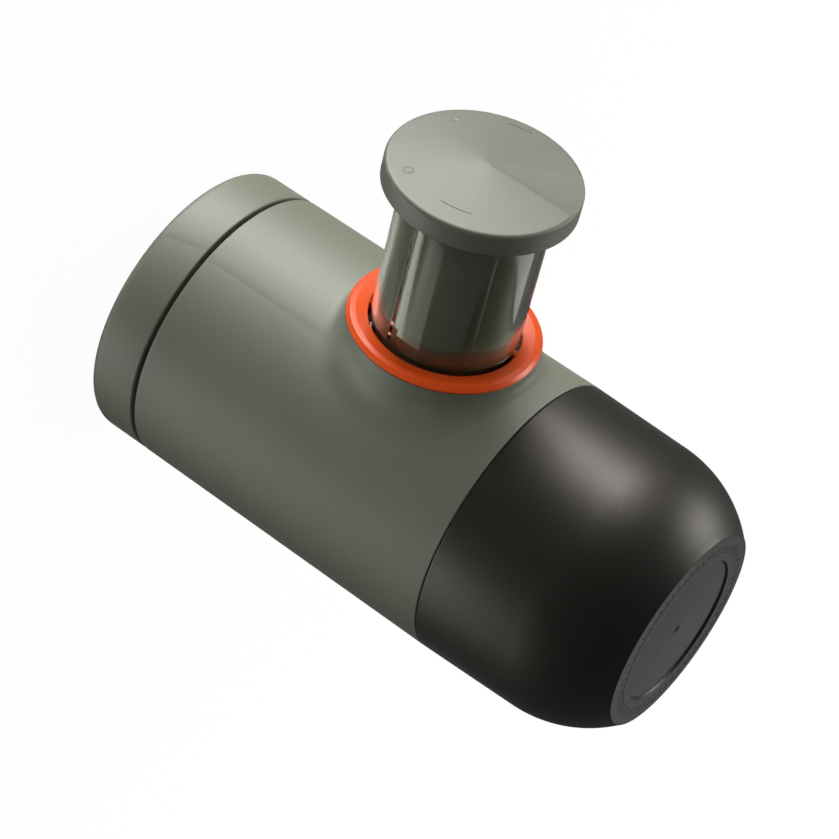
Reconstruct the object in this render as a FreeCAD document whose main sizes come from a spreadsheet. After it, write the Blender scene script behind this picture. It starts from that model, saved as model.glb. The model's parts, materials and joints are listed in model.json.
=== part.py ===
import FreeCAD, Part
import math
import os
import re
import Sketcher

# Handheld manual espresso maker, standing on the end face of its water tank.
# Millimetres.  Origin at the centre of that end face, +Z towards the cup,
# +X along the pump piston, outwards.  Pieces of the pump are drawn upright in
# their own frame, where their height is the distance along +X, and are then
# laid down on the pump axis by their Placement.

SIZES = {
    # outer form
    "foot_radius": 33.85, "body_radius": 34.1, "cup_joint": 94.78, "total_length": 139.97,
    "joint_gap": 0.2, "shell_inner": 31.4,
    # water tank
    "tank_joint": 13.06, "tank_gap": 1.0, "foot_round": 2.4, "foot_recess_radius": 23,
    "foot_recess": 0.6, "tank_spigot_radius": 31.05, "tank_spigot_top": 17.5,
    "cover_inner": 29.4, "cover_floor": 2.4, "vessel_radius": 28.6, "vessel_inner": 26.8,
    "vessel_mouth": 43.5, "vessel_floor": 4.4, "seal_height": 1.0,
    # body shell
    "shoulder_level": 91, "shoulder_top": 93.4, "shoulder_opening": 26.4,
    "spigot_radius": 31.75, "spigot_inner": 29.8, "spigot_top": 99.2,
    "boss_radius": 21.5, "boss_top": 36.4, "boss_bore": 19.2,
    "boss_blend_ridge": 2.1, "boss_blend_side": 11,
    # cup
    "cup_wall_radius": 33.57, "dome_start": 118.8, "cup_end_radius": 24.3, "cup_wall": 2,
    "cup_recess_radius": 17.4, "cup_recess": 0.6, "gate_radius": 1.1,
    # pump axis and stroke
    "pump_level": 66.15, "stroke": 35.5, "channel_angle": 19.5, "channel_count": 6,
    # knob
    "knob_radius": 21.2, "knob_bottom": 74.15, "knob_edge": 79.2, "knob_apex": 81.4,
    "knob_round": 1.1, "knob_hollow": 19.3, "knob_seat": 76.1, "pointer_start": 186.4,
    "pointer_sweep": 43.5, "pointer_sink": 0.03,
    # piston sleeve
    "sleeve_radius": 16.43, "sleeve_floor": 15.73, "sleeve_inner": 15.1, "sleeve_bottom": 26,
    "sleeve_top": 74.4, "stop_edge": 34.8, "channel_start": 38.85, "channel_width": 2.15,
    # piston core, band, rod and head
    "core_radius": 15.05, "core_inner": 13.4, "core_end": 42.3, "web_bottom": 70, "web_top": 73,
    "core_flange": 19.2, "band_inner": 13, "band_end": 27, "rod_radius": 4, "neck_radius": 3.2,
    "head_radius": 10.3, "head_bottom": 17.3, "head_top": 22.3, "head_groove": 8.4,
    # collar ring and guide bush
    "ring_inner": 16.88, "ring_crest_radius": 20.25, "ring_radius": 21.76, "ring_seat": 36.5,
    "ring_inner_top": 37.6, "ring_crest": 38, "ring_neck": 19.1, "neck_end": 34.2,
    "key_tip": 15.83, "key_bottom": 35.1, "key_top": 36.4, "key_width": 1.85,
    "bush_inner": 16.5, "bush_radius": 19, "bush_spigot": 17.9, "bush_end": 23,
    "bush_seat": 27, "bush_top": 34,
    # pump cylinder
    "bore_radius": 10.5, "cylinder_radius": 12.4, "cylinder_end": -26, "cylinder_top": 24,
    "cylinder_flange": 14.4, "plug_end": -28.6,
    # return spring
    "spring_radius": 8, "wire_radius": 0.6, "spring_turns": 7,
    # pump housing
    "deck_radius": 31.2, "lower_deck": 44.5, "lower_deck_top": 47, "skirt_end": 38,
    "skirt_inner": 29.1, "upper_deck": 86, "barrel_radius": 18.4, "barrel_inner": 16.85,
    "barrel_mouth_radius": 19.6, "barrel_mouth": 20, "barrel_end": -14, "barrel_wall": 2,
    "rib_thickness": 2.4, "port_offset": -20.2, "port_radius": 3.4, "port_bore": 1.5,
    "valve_radius": 2.4, "valve_length": 4, "stub_end": 40.5,
    # brew group
    "collar_radius": 23.2, "collar_inner": 20.8, "collar_top": 100, "screen_level": 97.2,
    "gasket_height": 0.6, "basket_radius": 20.6, "basket_inner": 20, "basket_rim": 22.9,
    "basket_floor": 115.6, "sheet_thickness": 0.6, "outlet_radius": 25.8,
    "outlet_thread_inner": 23.6, "outlet_start": 92.6, "outlet_shoulder": 101.4,
    "outlet_floor": 117, "nozzle_end": 126, "nozzle_radius": 5.5,
    # fasteners
    "case_screw_circle": 28.1, "case_screw_head": 1.6, "case_screw_shank": 0.9,
}

UPRIGHT = FreeCAD.Rotation()
ALONG_PUMP = FreeCAD.Rotation(FreeCAD.Vector(0, 1, 0), 90)

doc = FreeCAD.newDocument("espresso_maker")
sheet = doc.addObject("Spreadsheet::Sheet", "Sizes")


def fill_sheet():
    for row, (alias, size) in enumerate(SIZES.items(), start=1):
        sheet.set(f"A{row}", alias)
        sheet.set(f"B{row}", str(size))
        sheet.setAlias(f"B{row}", alias)
    doc.recompute()


def bound(expression):
    """Turn bare alias names into references to the sheet."""
    return re.sub(r"[a-z][a-z_]{2,}", r"Sizes.\g<0>", expression)


def number(expression):
    return float(sheet.evalExpression(re.sub(r"[a-z][a-z_]{2,}", r".\g<0>", expression)))


def bind(feature, **expressions):
    for name, expression in expressions.items():
        feature.setExpression(name, bound(expression))


# ---- sketches ---------------------------------------------------------------

def new_sketch(body, name, role):
    sketch = body.newObject("Sketcher::SketchObject", name)
    plane = next(f for f in body.Origin.OriginFeatures if f.Role == role)
    sketch.AttachmentSupport = [(plane, "")]
    sketch.MapMode = "FlatFace"
    return sketch


def raise_sketch(sketch, height):
    sketch.setExpression(".AttachmentOffset.Base.z", bound(height))


def dimension(sketch, kind, elements, expression, start):
    index = sketch.addConstraint(Sketcher.Constraint(kind, *elements, start))
    sketch.setExpression(f"Constraints[{index}]", bound(expression))


def locate(sketch, element, point, corner, spot):
    """Tie one point to its two expressions, measured from the sketch origin."""
    dimension(sketch, "DistanceX", (-1, 1, element, point), corner[0], spot.x)
    dimension(sketch, "DistanceY", (-1, 1, element, point), corner[1], spot.y)


def add_arc(sketch, centre, start, end):
    """Add the shorter arc and return it with the places of its start and end."""
    turn = (start - centre).cross(end - centre).z
    first, last = (start, end) if turn > 0 else (end, start)
    angles = [math.atan2(p.y - centre.y, p.x - centre.x) for p in (first, last)]
    circle = Part.Circle(centre, FreeCAD.Vector(0, 0, 1), (first - centre).Length)
    arc = sketch.addGeometry(Part.ArcOfCircle(circle, *angles), False)
    return (arc, 1, 2) if turn > 0 else (arc, 2, 1)


def tangent_centre(start, direction, end):
    """Centre of the circle that leaves start along direction and passes end."""
    normal = FreeCAD.Vector(-direction.y, direction.x, 0)
    chord = end - start
    return start + normal * (chord.dot(chord) / (2 * chord.dot(normal)))


def outline(sketch, corners):
    """Close a loop through corners of (across, along, option) expressions.

    The option is a rounding radius, or "leaving" or "meeting" where the edge
    that ends at the corner is an arc tangent to the edge before or after it.
    """
    count = len(corners)
    spots = [FreeCAD.Vector(number(c[0]), number(c[1]), 0) for c in corners]
    options = [c[2] if len(c) > 2 else "" for c in corners]
    arcs = {i for i in range(count) if options[i] in ("leaving", "meeting")}
    rounds = {i for i in range(count) if options[i] and i not in arcs}
    ahead = [(spots[(i + 1) % count] - spots[i]).normalize() for i in range(count)]
    starts, ends = list(spots), list(spots)
    for i in rounds:
        turn = ahead[i - 1].getAngle(ahead[i])
        cut = number(options[i]) * math.tan(turn / 2)
        ends[i] = spots[i] - ahead[i - 1] * cut
        starts[i] = spots[i] + ahead[i] * cut
    edges = []
    for i in range(count):
        after = (i + 1) % count
        if options[after] == "leaving":
            centre = tangent_centre(starts[i], ahead[i - 1], ends[after])
            edges.append(add_arc(sketch, centre, starts[i], ends[after]))
        elif options[after] == "meeting":
            centre = tangent_centre(ends[after], ahead[after], starts[i])
            edges.append(add_arc(sketch, centre, starts[i], ends[after]))
        else:
            line = Part.LineSegment(starts[i], ends[after])
            edges.append((sketch.addGeometry(line, False), 1, 2))
    for i in range(count):
        before, here = edges[i - 1], edges[i]
        if i in rounds:
            round_corner(sketch, before, here, corners[i], spots[i], ends[i], starts[i])
            continue
        tangent = options[(i + 1) % count] == "leaving" or options[i] == "meeting"
        kind = "Tangent" if tangent else "Coincident"
        sketch.addConstraint(Sketcher.Constraint(kind, before[0], before[2], here[0], here[1]))
        locate(sketch, here[0], here[1], corners[i], spots[i])


def round_corner(sketch, before, here, corner, spot, entry, leave):
    radius = number(corner[2])
    bisector = ((entry + leave) * 0.5 - spot).normalize()
    half = (entry - spot).getAngle(leave - spot) / 2
    arc = add_arc(sketch, spot + bisector * (radius / math.sin(half)), entry, leave)
    join = Sketcher.Constraint("Tangent", before[0], before[2], arc[0], arc[1])
    sketch.addConstraint(join)
    join = Sketcher.Constraint("Tangent", arc[0], arc[2], here[0], here[1])
    sketch.addConstraint(join)
    dimension(sketch, "Radius", (arc[0],), corner[2], radius)
    tip = sketch.addGeometry(Part.Point(spot), True)
    sketch.addConstraint(Sketcher.Constraint("PointOnObject", tip, 1, before[0]))
    sketch.addConstraint(Sketcher.Constraint("PointOnObject", tip, 1, here[0]))
    locate(sketch, tip, 1, corner, spot)


def circle(sketch, across, along, radius):
    centre = FreeCAD.Vector(number(across), number(along), 0)
    size = number(radius)
    index = sketch.addGeometry(Part.Circle(centre, FreeCAD.Vector(0, 0, 1), size), False)
    dimension(sketch, "Radius", (index,), radius, size)
    locate(sketch, index, 3, (across, along), centre)


# ---- features ---------------------------------------------------------------

def lay_down(piece, turn="0"):
    """Lay an upright piece on the pump axis, turned about that axis first."""
    spin = FreeCAD.Rotation(FreeCAD.Vector(0, 0, 1), number(turn))
    piece.Placement = FreeCAD.Placement(FreeCAD.Vector(), ALONG_PUMP * spin)
    piece.setExpression(".Placement.Base.z", bound("pump_level"))
    return piece


def turned(label, corners):
    """A body turned about its own Z axis from a half section."""
    body = doc.addObject("PartDesign::Body", label)
    body.Label = label
    sketch = new_sketch(body, label + "_section", "XZ_Plane")
    outline(sketch, corners)
    turning = body.newObject("PartDesign::Revolution", label + "_turning")
    turning.Profile = sketch
    turning.ReferenceAxis = (sketch, ["V_Axis"])
    turning.Angle = 360
    return body


def extrude(body, kind, name, height, length, draw):
    """Pad or pocket a sketch drawn by draw() at a height, upwards by a length."""
    sketch = new_sketch(body, name + "_sketch", "XY_Plane")
    raise_sketch(sketch, height)
    draw(sketch)
    doc.recompute()
    before = body.Shape.Volume
    feature = body.newObject("PartDesign::" + kind, name)
    feature.Profile = sketch
    feature.Reversed = kind == "Pocket"
    bind(feature, Length=length)
    doc.recompute()
    gain = feature.Shape.Volume - before
    if (gain > 0) != (kind == "Pad") or abs(gain) < 1e-6:
        raise RuntimeError(f"{name} changes nothing")
    return feature


def around(body, name, feature, count):
    """Repeat a feature evenly about the body's Z axis."""
    pattern = body.newObject("PartDesign::PolarPattern", name)
    pattern.Originals = [feature]
    pattern.Axis = (feature.Profile[0], ["N_Axis"])
    pattern.Angle = 360
    bind(pattern, Occurrences=count)
    body.Tip = pattern
    return pattern


def block(sketch, left, right, width):
    """A rectangle across the X axis of the sketch."""
    low, high = f"-({width}) / 2", f"({width}) / 2"
    outline(sketch, [(left, low), (right, low), (right, high), (left, high)])


def cylinder(name, radius, start, end, x="0", rotation=UPRIGHT):
    """A plain cylinder, upright at x or laid on the pump axis, from start to end."""
    solid = doc.addObject("Part::Cylinder", name)
    solid.Placement = FreeCAD.Placement(FreeCAD.Vector(), rotation)
    bind(solid, Radius=radius, Height=f"({end}) - ({start})")
    across, up = (x, start) if rotation is UPRIGHT else (start, "pump_level")
    solid.setExpression(".Placement.Base.x", bound(across))
    solid.setExpression(".Placement.Base.z", bound(up))
    return solid


def box(name, x_span, y_span, z_span):
    solid = doc.addObject("Part::Box", name)
    spans = (("Length", "x", x_span), ("Width", "y", y_span), ("Height", "z", z_span))
    for size, axis, (low, high) in spans:
        solid.setExpression(size, bound(f"({high}) - ({low})"))
        solid.setExpression(f".Placement.Base.{axis}", bound(low))
    return solid


def joined(name, pieces):
    whole = doc.addObject("Part::MultiFuse", name)
    whole.Shapes = pieces
    return whole


def less(name, base, tools):
    """Cut all the tools from the base."""
    cut = doc.addObject("Part::Cut", name)
    cut.Base = base
    cut.Tool = tools[0] if len(tools) == 1 else joined(name + "_tools", tools)
    cut.Label = name
    return cut


# ---- water tank -------------------------------------------------------------

def tank_base_cover():
    rim = "tank_joint - tank_gap / 2"
    return turned("tank_base_cover", [
        ("0", "foot_recess"),
        ("foot_recess_radius", "foot_recess"),
        ("foot_recess_radius + foot_recess", "0"),
        ("foot_radius", "0", "foot_round"),
        ("foot_radius", rim, "0.4"),
        ("tank_spigot_radius", rim),
        ("tank_spigot_radius", "tank_spigot_top", "0.4"),
        ("cover_inner", "tank_spigot_top"),
        ("cover_inner", "cover_floor + foot_recess"),
        ("0", "cover_floor + foot_recess"),
    ])


def water_tank():
    floor = "cover_floor + foot_recess"
    return turned("water_tank", [
        ("0", floor),
        ("cover_inner - 0.05", floor, "1.5"),
        ("cover_inner - 0.05", "tank_spigot_top - 1"),
        ("vessel_radius", "tank_spigot_top"),
        ("vessel_radius", "vessel_mouth", "0.4"),
        ("vessel_inner", "vessel_mouth"),
        ("vessel_inner", "vessel_floor + foot_recess", "3"),
        ("0", "vessel_floor + foot_recess"),
    ])


def tank_seal():
    return turned("tank_seal", [
        ("vessel_inner - 1", "vessel_mouth"),
        ("vessel_radius - 0.2", "vessel_mouth"),
        ("vessel_radius - 0.2", "vessel_mouth + seal_height"),
        ("vessel_inner - 1", "vessel_mouth + seal_height"),
    ])


# ---- body shell -------------------------------------------------------------

def boss_blank():
    """Round boss whose circle is drawn in quarters, so its foot has four edges."""
    boss = doc.addObject("PartDesign::Body", "boss_blank")
    sketch = new_sketch(boss, "boss_circle", "XY_Plane")
    radius = number("boss_radius")
    ring = Part.Circle(FreeCAD.Vector(), FreeCAD.Vector(0, 0, 1), radius)
    quarters = [
        sketch.addGeometry(Part.ArcOfCircle(ring, k * math.pi / 2, (k + 1) * math.pi / 2), False)
        for k in range(4)
    ]
    for k, arc in enumerate(quarters):
        sketch.addConstraint(Sketcher.Constraint("Coincident", arc, 3, -1, 1))
        sketch.addConstraint(Sketcher.Constraint("PointOnObject", arc, 1, -1 - k % 2))
    for arc, after in zip(quarters, quarters[1:]):
        sketch.addConstraint(Sketcher.Constraint("Coincident", arc, 2, after, 1))
    sketch.addConstraint(Sketcher.Constraint("PointOnObject", quarters[-1], 2, -1))
    dimension(sketch, "Radius", (quarters[0],), "boss_radius", radius)
    pad = boss.newObject("PartDesign::Pad", "boss_pad")
    pad.Profile = sketch
    bind(pad, Length="boss_top")
    return lay_down(boss)


def foot_of_boss(shape):
    """Indices and end points of the edges where the boss meets the barrel form."""
    radius, level = number("boss_radius"), number("pump_level")
    barrel = number("body_radius")
    found = []
    for index, edge in enumerate(shape.Edges, start=1):
        span = edge.LastParameter - edge.FirstParameter
        points = [edge.valueAt(edge.FirstParameter + span * part) for part in (0, 0.3, 0.7, 1)]
        on_boss = all(abs(math.hypot(p.y, p.z - level) - radius) < 0.02 for p in points)
        on_barrel = all(abs(math.hypot(p.x, p.y) - barrel) < 0.4 for p in points)
        if on_boss and on_barrel and points[1].x > 0:
            found.append((index, points[0], points[-1]))
    return found


def body_shell():
    """Tubular shell whose round boss blends into it over a saddle.

    The blend is tight on the two ridges, where the boss barely stands above
    the barrel, and wide on the two flanks.
    """
    barrel = turned("barrel_form", [
        ("0", "tank_joint + tank_gap / 2"),
        ("foot_radius + 0.03", "tank_joint + tank_gap / 2", "0.5"),
        ("body_radius", "cup_joint - joint_gap / 2", "0.3"),
        ("spigot_radius", "cup_joint - joint_gap / 2"),
        ("spigot_radius", "spigot_top", "0.5"),
        ("0", "spigot_top"),
    ])
    solid = joined("barrel_with_boss", [barrel, boss_blank()])
    doc.recompute()
    blend = doc.addObject("Part::Fillet", "boss_blend")
    blend.Base = solid
    ridge, side = number("boss_blend_ridge"), number("boss_blend_side")
    blend.Edges = [
        (index, *(ridge if abs(end.y) < 1 else side for end in ends))
        for index, *ends in foot_of_boss(solid.Shape)
    ]
    hollow = turned("shell_hollow", [
        ("0", "0"),
        ("shell_inner", "0"),
        ("shell_inner", "shoulder_level"),
        ("shoulder_opening", "shoulder_level"),
        ("shoulder_opening", "shoulder_top"),
        ("spigot_inner", "shoulder_top"),
        ("spigot_inner", "spigot_top + 1"),
        ("0", "spigot_top + 1"),
    ])
    bore = cylinder("boss_hole", "boss_bore", "5", "boss_top + 1", rotation=ALONG_PUMP)
    relief = cylinder("boss_relief", "barrel_mouth_radius + 0.3", "5", "bush_seat + 0.3",
                      rotation=ALONG_PUMP)
    holes = case_screw_holes("shell_screw_holes", "shoulder_level - 1", "shoulder_top + 1")
    return less("body_shell", blend, [hollow, bore, relief, holes])


def case_screw_holes(name, start, end):
    """Four clearance holes for the case screws, as one cutting tool."""
    tool = doc.addObject("PartDesign::Body", name)
    sketch = new_sketch(tool, name + "_sketch", "XY_Plane")
    raise_sketch(sketch, start)
    circle(sketch, "case_screw_circle", "0", "case_screw_shank + 0.1")
    pad = tool.newObject("PartDesign::Pad", name + "_pad")
    pad.Profile = sketch
    bind(pad, Length=f"({end}) - ({start})")
    around(tool, name + "_ring", pad, "4")
    tool.Placement.Rotation = FreeCAD.Rotation(FreeCAD.Vector(0, 0, 1), 45)
    return tool


def case_screws():
    """Four pan head screws, one solid each, in one node."""
    screws = turned("case_screw", [
        ("0", "shoulder_level - 6"),
        ("case_screw_shank", "shoulder_level - 6"),
        ("case_screw_shank", "shoulder_top"),
        ("case_screw_head", "shoulder_top"),
        ("case_screw_head", "shoulder_top + 1.3", "0.5"),
        ("0", "shoulder_top + 1.3"),
    ])
    reach = number("case_screw_circle") * math.sqrt(0.5)
    screws.Placement.Base = FreeCAD.Vector(reach, reach, 0)
    doc.recompute()
    group = doc.addObject("Part::Feature", "case_screws")
    turns = [FreeCAD.Rotation(FreeCAD.Vector(0, 0, 1), 90 * k) for k in range(4)]
    copies = [screws.Shape.copy() for _ in turns]
    for copy, turn in zip(copies, turns):
        copy.Placement = FreeCAD.Placement(FreeCAD.Vector(), turn) * copy.Placement
    group.Shape = Part.Compound(copies)
    group.Label = "case_screws"
    return group


# ---- cup --------------------------------------------------------------------

def cup():
    rim = "cup_joint + joint_gap / 2"
    floor = "total_length - cup_recess - cup_wall"
    return turned("cup", [
        ("spigot_radius + 0.3", rim),
        ("body_radius", rim, "0.3"),
        ("cup_wall_radius", "dome_start"),
        ("cup_end_radius", "total_length", "leaving"),
        ("cup_recess_radius + 0.3", "total_length"),
        ("cup_recess_radius", "total_length - cup_recess"),
        ("gate_radius", "total_length - cup_recess"),
        ("gate_radius - 0.5", "total_length - cup_recess - 0.4"),
        ("0", "total_length - cup_recess - 0.4"),
        ("0", floor),
        ("cup_end_radius - cup_wall", floor),
        ("cup_wall_radius - cup_wall", "dome_start", "meeting"),
    ])


# ---- knob and what turns with it --------------------------------------------

def pointer_cut():
    """Flat cut between two rays of the knob's cone, for the pointer facet."""
    start, sweep = number("pointer_start"), number("pointer_sweep")
    apex, edge = number("knob_apex"), number("knob_edge")
    slope = (apex - edge + number("pointer_sink")) / number("knob_radius")
    reach = number("knob_radius") + 6
    tips = [
        FreeCAD.Vector(reach * math.cos(angle), reach * math.sin(angle), apex - slope * reach)
        for angle in (math.radians(start), math.radians(start + sweep))
    ]
    centre = FreeCAD.Vector(0, 0, apex)
    facet = Part.Face(Part.makePolygon([centre, *tips, centre]))
    tool = doc.addObject("Part::Feature", "pointer_cut")
    tool.Shape = facet.extrude(FreeCAD.Vector(0, 0, 4))
    return lay_down(tool)


def knob():
    blank = turned("knob_blank", [
        ("knob_hollow", "knob_bottom"),
        ("knob_radius", "knob_bottom", "0.25"),
        ("knob_radius", "knob_edge", "knob_round"),
        ("0", "knob_apex"),
        ("0", "knob_apex - 2.2"),
        ("12", "knob_edge - 1.4"),
        ("12", "knob_seat"),
        ("knob_hollow", "knob_seat"),
    ])
    return less("knob", lay_down(blank), [pointer_cut()])


def piston_core():
    core = turned("piston_core", [
        ("core_inner", "core_end"),
        ("core_radius", "core_end", "0.3"),
        ("core_radius", "knob_bottom + 0.35"),
        ("core_flange", "knob_bottom + 0.35"),
        ("core_flange", "knob_seat - 0.1"),
        ("9", "knob_seat - 0.1"),
        ("9", "web_top"),
        ("neck_radius + 0.08", "web_top"),
        ("neck_radius + 0.08", "web_bottom"),
        ("core_inner", "web_bottom", "1"),
    ])
    return lay_down(core)


def guide_band():
    band = turned("guide_band", [
        ("band_inner", "band_end"),
        ("core_radius", "band_end", "0.5"),
        ("core_radius", "core_end"),
        ("band_inner", "core_end"),
    ])
    return lay_down(band)


def piston_sleeve():
    """Clear sleeve with a stop flange, six key channels and a locking groove.

    The fixed keys stand between the flange and the panels at full travel, run
    up the channels as the piston goes in, and reach the groove under the knob
    when it is home, where a turn locks it.
    """
    groove = "key_bottom + stroke - 0.4"
    sleeve = turned("piston_sleeve", [
        ("sleeve_inner", "sleeve_bottom"),
        ("sleeve_radius", "sleeve_bottom", "0.4"),
        ("sleeve_radius", "stop_edge"),
        ("sleeve_floor", "stop_edge"),
        ("sleeve_floor", "channel_start - 0.25"),
        ("sleeve_radius", "channel_start + 0.25"),
        ("sleeve_radius", groove),
        ("sleeve_floor", groove),
        ("sleeve_floor", "sleeve_top"),
        ("sleeve_inner", "sleeve_top"),
    ])
    doc.recompute()
    channel = extrude(
        sleeve, "Pocket", "key_channel", "stop_edge + 1", f"{groove} - stop_edge - 0.5",
        lambda sketch: block(sketch, "sleeve_floor", "sleeve_radius + 1", "channel_width"),
    )
    around(sleeve, "key_channels", channel, "channel_count")
    return lay_down(sleeve, "channel_angle")


# ---- collar ring and guide bush ---------------------------------------------

def collar_ring():
    """Accent ring over the boss, with the six keys that guide the sleeve."""
    ring = turned("collar_ring", [
        ("ring_inner", "neck_end"),
        ("ring_neck", "neck_end"),
        ("ring_neck", "ring_seat"),
        ("ring_radius - 0.25", "ring_seat"),
        ("ring_radius", "ring_seat + 0.45", "0.3"),
        ("ring_crest_radius + 0.55", "ring_crest - 0.1", "0.6"),
        ("ring_crest_radius - 0.6", "ring_crest", "1.2"),
        ("ring_inner", "ring_inner_top", "0.25"),
    ])
    doc.recompute()
    key = extrude(
        ring, "Pad", "guide_key", "key_bottom", "key_top - key_bottom",
        lambda sketch: block(sketch, "key_tip", "ring_inner + 0.3", "key_width"),
    )
    around(ring, "guide_keys", key, "channel_count")
    return lay_down(ring, "channel_angle")


def guide_bush():
    bush = turned("guide_bush", [
        ("bush_inner", "bush_end", "0.4"),
        ("bush_spigot", "bush_end"),
        ("bush_spigot", "bush_seat"),
        ("bush_radius", "bush_seat"),
        ("bush_radius", "bush_top"),
        ("bush_inner", "bush_top"),
    ])
    return lay_down(bush)


# ---- pump -------------------------------------------------------------------

def pump_cylinder():
    tube = turned("cylinder_tube", [
        ("bore_radius", "cylinder_end"),
        ("cylinder_radius", "cylinder_end"),
        ("cylinder_radius", "barrel_end - 2"),
        ("cylinder_flange", "barrel_end - 2"),
        ("cylinder_flange", "barrel_end"),
        ("cylinder_radius", "barrel_end"),
        ("cylinder_radius", "cylinder_top"),
        ("bore_radius", "cylinder_top"),
    ])
    ports = cylinder(
        "cylinder_ports", "port_bore", "pump_level - cylinder_radius - 1",
        "pump_level + cylinder_radius + 1", x="port_offset",
    )
    return less("pump_cylinder", lay_down(tube), [ports])


def cylinder_cap():
    cap = turned("cylinder_cap", [
        ("rod_radius + 0.08", "head_top + 0.6"),
        ("bore_radius - 0.05", "head_top + 0.6", "0.3"),
        ("bore_radius - 0.05", "cylinder_top"),
        ("cylinder_radius", "cylinder_top"),
        ("cylinder_radius", "cylinder_top + 1.6", "0.8"),
        ("rod_radius + 2.2", "cylinder_top + 1.6"),
        ("rod_radius + 2.2", "cylinder_top + 3.2"),
        ("rod_radius + 0.08", "cylinder_top + 3.2"),
    ])
    return lay_down(cap)


def cylinder_plug():
    plug = turned("cylinder_plug", [
        ("0", "plug_end"),
        ("cylinder_radius", "plug_end", "0.8"),
        ("cylinder_radius", "cylinder_end"),
        ("bore_radius - 0.1", "cylinder_end"),
        ("bore_radius - 0.1", "cylinder_end + 0.4"),
        ("bore_radius - 1.5", "cylinder_end + 0.4"),
        ("bore_radius - 1.5", "cylinder_end + 1.8"),
        ("bore_radius - 0.1", "cylinder_end + 1.8"),
        ("bore_radius - 0.1", "cylinder_end + 2.4"),
        ("0", "cylinder_end + 2.4"),
    ])
    return lay_down(plug)


def seal_ring(label, ring_radius, section_radius, level):
    """An O-ring on the pump axis."""
    ring = doc.addObject("Part::Torus", label)
    ring.Label = label
    bind(ring, Radius1=ring_radius, Radius2=section_radius)
    ring.Placement = FreeCAD.Placement(FreeCAD.Vector(), ALONG_PUMP)
    ring.setExpression(".Placement.Base.x", bound(level))
    ring.setExpression(".Placement.Base.z", bound("pump_level"))
    return ring


def piston_head():
    head = turned("piston_head", [
        ("1.3", "head_bottom"),
        ("head_radius", "head_bottom", "0.5"),
        ("head_radius", "head_bottom + 1.6"),
        ("head_groove", "head_bottom + 1.6"),
        ("head_groove", "head_bottom + 3.4"),
        ("head_radius", "head_bottom + 3.4"),
        ("head_radius", "head_top", "0.5"),
        ("2.7", "head_top"),
        ("2.7", "head_bottom + 1.8"),
        ("1.3", "head_bottom + 1.8"),
    ])
    return lay_down(head)


def piston_seal():
    """Lip seal: a ring whose lower lip reaches the bore."""
    seal = turned("piston_seal", [
        ("head_groove + 0.05", "head_bottom + 1.7"),
        ("head_groove + 0.8", "head_bottom + 1.7"),
        ("bore_radius - 0.6", "head_bottom + 2.3"),
        ("bore_radius - 0.05", "head_bottom + 1.7"),
        ("bore_radius - 0.05", "head_bottom + 2.5"),
        ("bore_radius - 0.5", "head_bottom + 3.3"),
        ("head_groove + 0.05", "head_bottom + 3.3"),
    ])
    return lay_down(seal)


def piston_rod():
    rod = turned("piston_rod", [
        ("0", "head_bottom + 7"),
        ("1.25", "head_bottom + 7"),
        ("1.25", "head_bottom + 1.9"),
        ("2.6", "head_bottom + 1.9"),
        ("2.6", "head_top"),
        ("rod_radius", "head_top"),
        ("rod_radius", "web_bottom - 0.1", "0.3"),
        ("neck_radius", "web_bottom - 0.1"),
        ("neck_radius", "web_top + 0.2"),
        ("neck_radius - 0.6", "web_top + 0.2"),
        ("neck_radius - 0.6", "web_top + 1.1"),
        ("neck_radius", "web_top + 1.1"),
        ("neck_radius", "web_top + 2", "0.4"),
        ("0", "web_top + 2"),
    ])
    return lay_down(rod)


def rod_clip():
    """Retaining clip with its open mouth and two ears."""
    clip = turned("rod_clip", [
        ("neck_radius - 0.55", "web_top + 0.25"),
        ("neck_radius + 1.6", "web_top + 0.25"),
        ("neck_radius + 1.6", "web_top + 1.05"),
        ("neck_radius - 0.55", "web_top + 1.05"),
    ])
    doc.recompute()
    extrude(
        clip, "Pocket", "clip_mouth", "web_top", "2",
        lambda sketch: block(sketch, "0.5", "neck_radius + 3", "3.6"),
    )
    return lay_down(clip)


def head_screw():
    screw = turned("head_screw", [
        ("0", "head_bottom - 1.6"),
        ("2.5", "head_bottom - 1.6", "0.6"),
        ("2.5", "head_bottom"),
        ("1.2", "head_bottom"),
        ("1.2", "head_bottom + 6.5"),
        ("0", "head_bottom + 6.5"),
    ])
    return lay_down(screw)


def return_spring():
    """Coil spring between the cylinder cap and the web of the core."""
    start, end = number("cylinder_top + 1.7"), number("web_bottom - 0.15")
    wire, radius = number("wire_radius"), number("spring_radius")
    rise = end - start - 2 * wire
    helix = Part.makeHelix(rise / number("spring_turns"), rise, radius)
    section = Part.Wire(Part.makeCircle(wire, FreeCAD.Vector(radius, 0, 0), FreeCAD.Vector(0, 1, 0)))
    coil = Part.Wire(helix.Edges).makePipeShell([section], True, True)
    spring = doc.addObject("Part::Feature", "return_spring")
    spring.Label = "return_spring"
    spring.Shape = coil
    lay_down(spring)
    spring.setExpression(".Placement.Base.x", bound("cylinder_top + 1.7 + wire_radius"))
    return spring


# ---- pump housing and valves ------------------------------------------------

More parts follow.
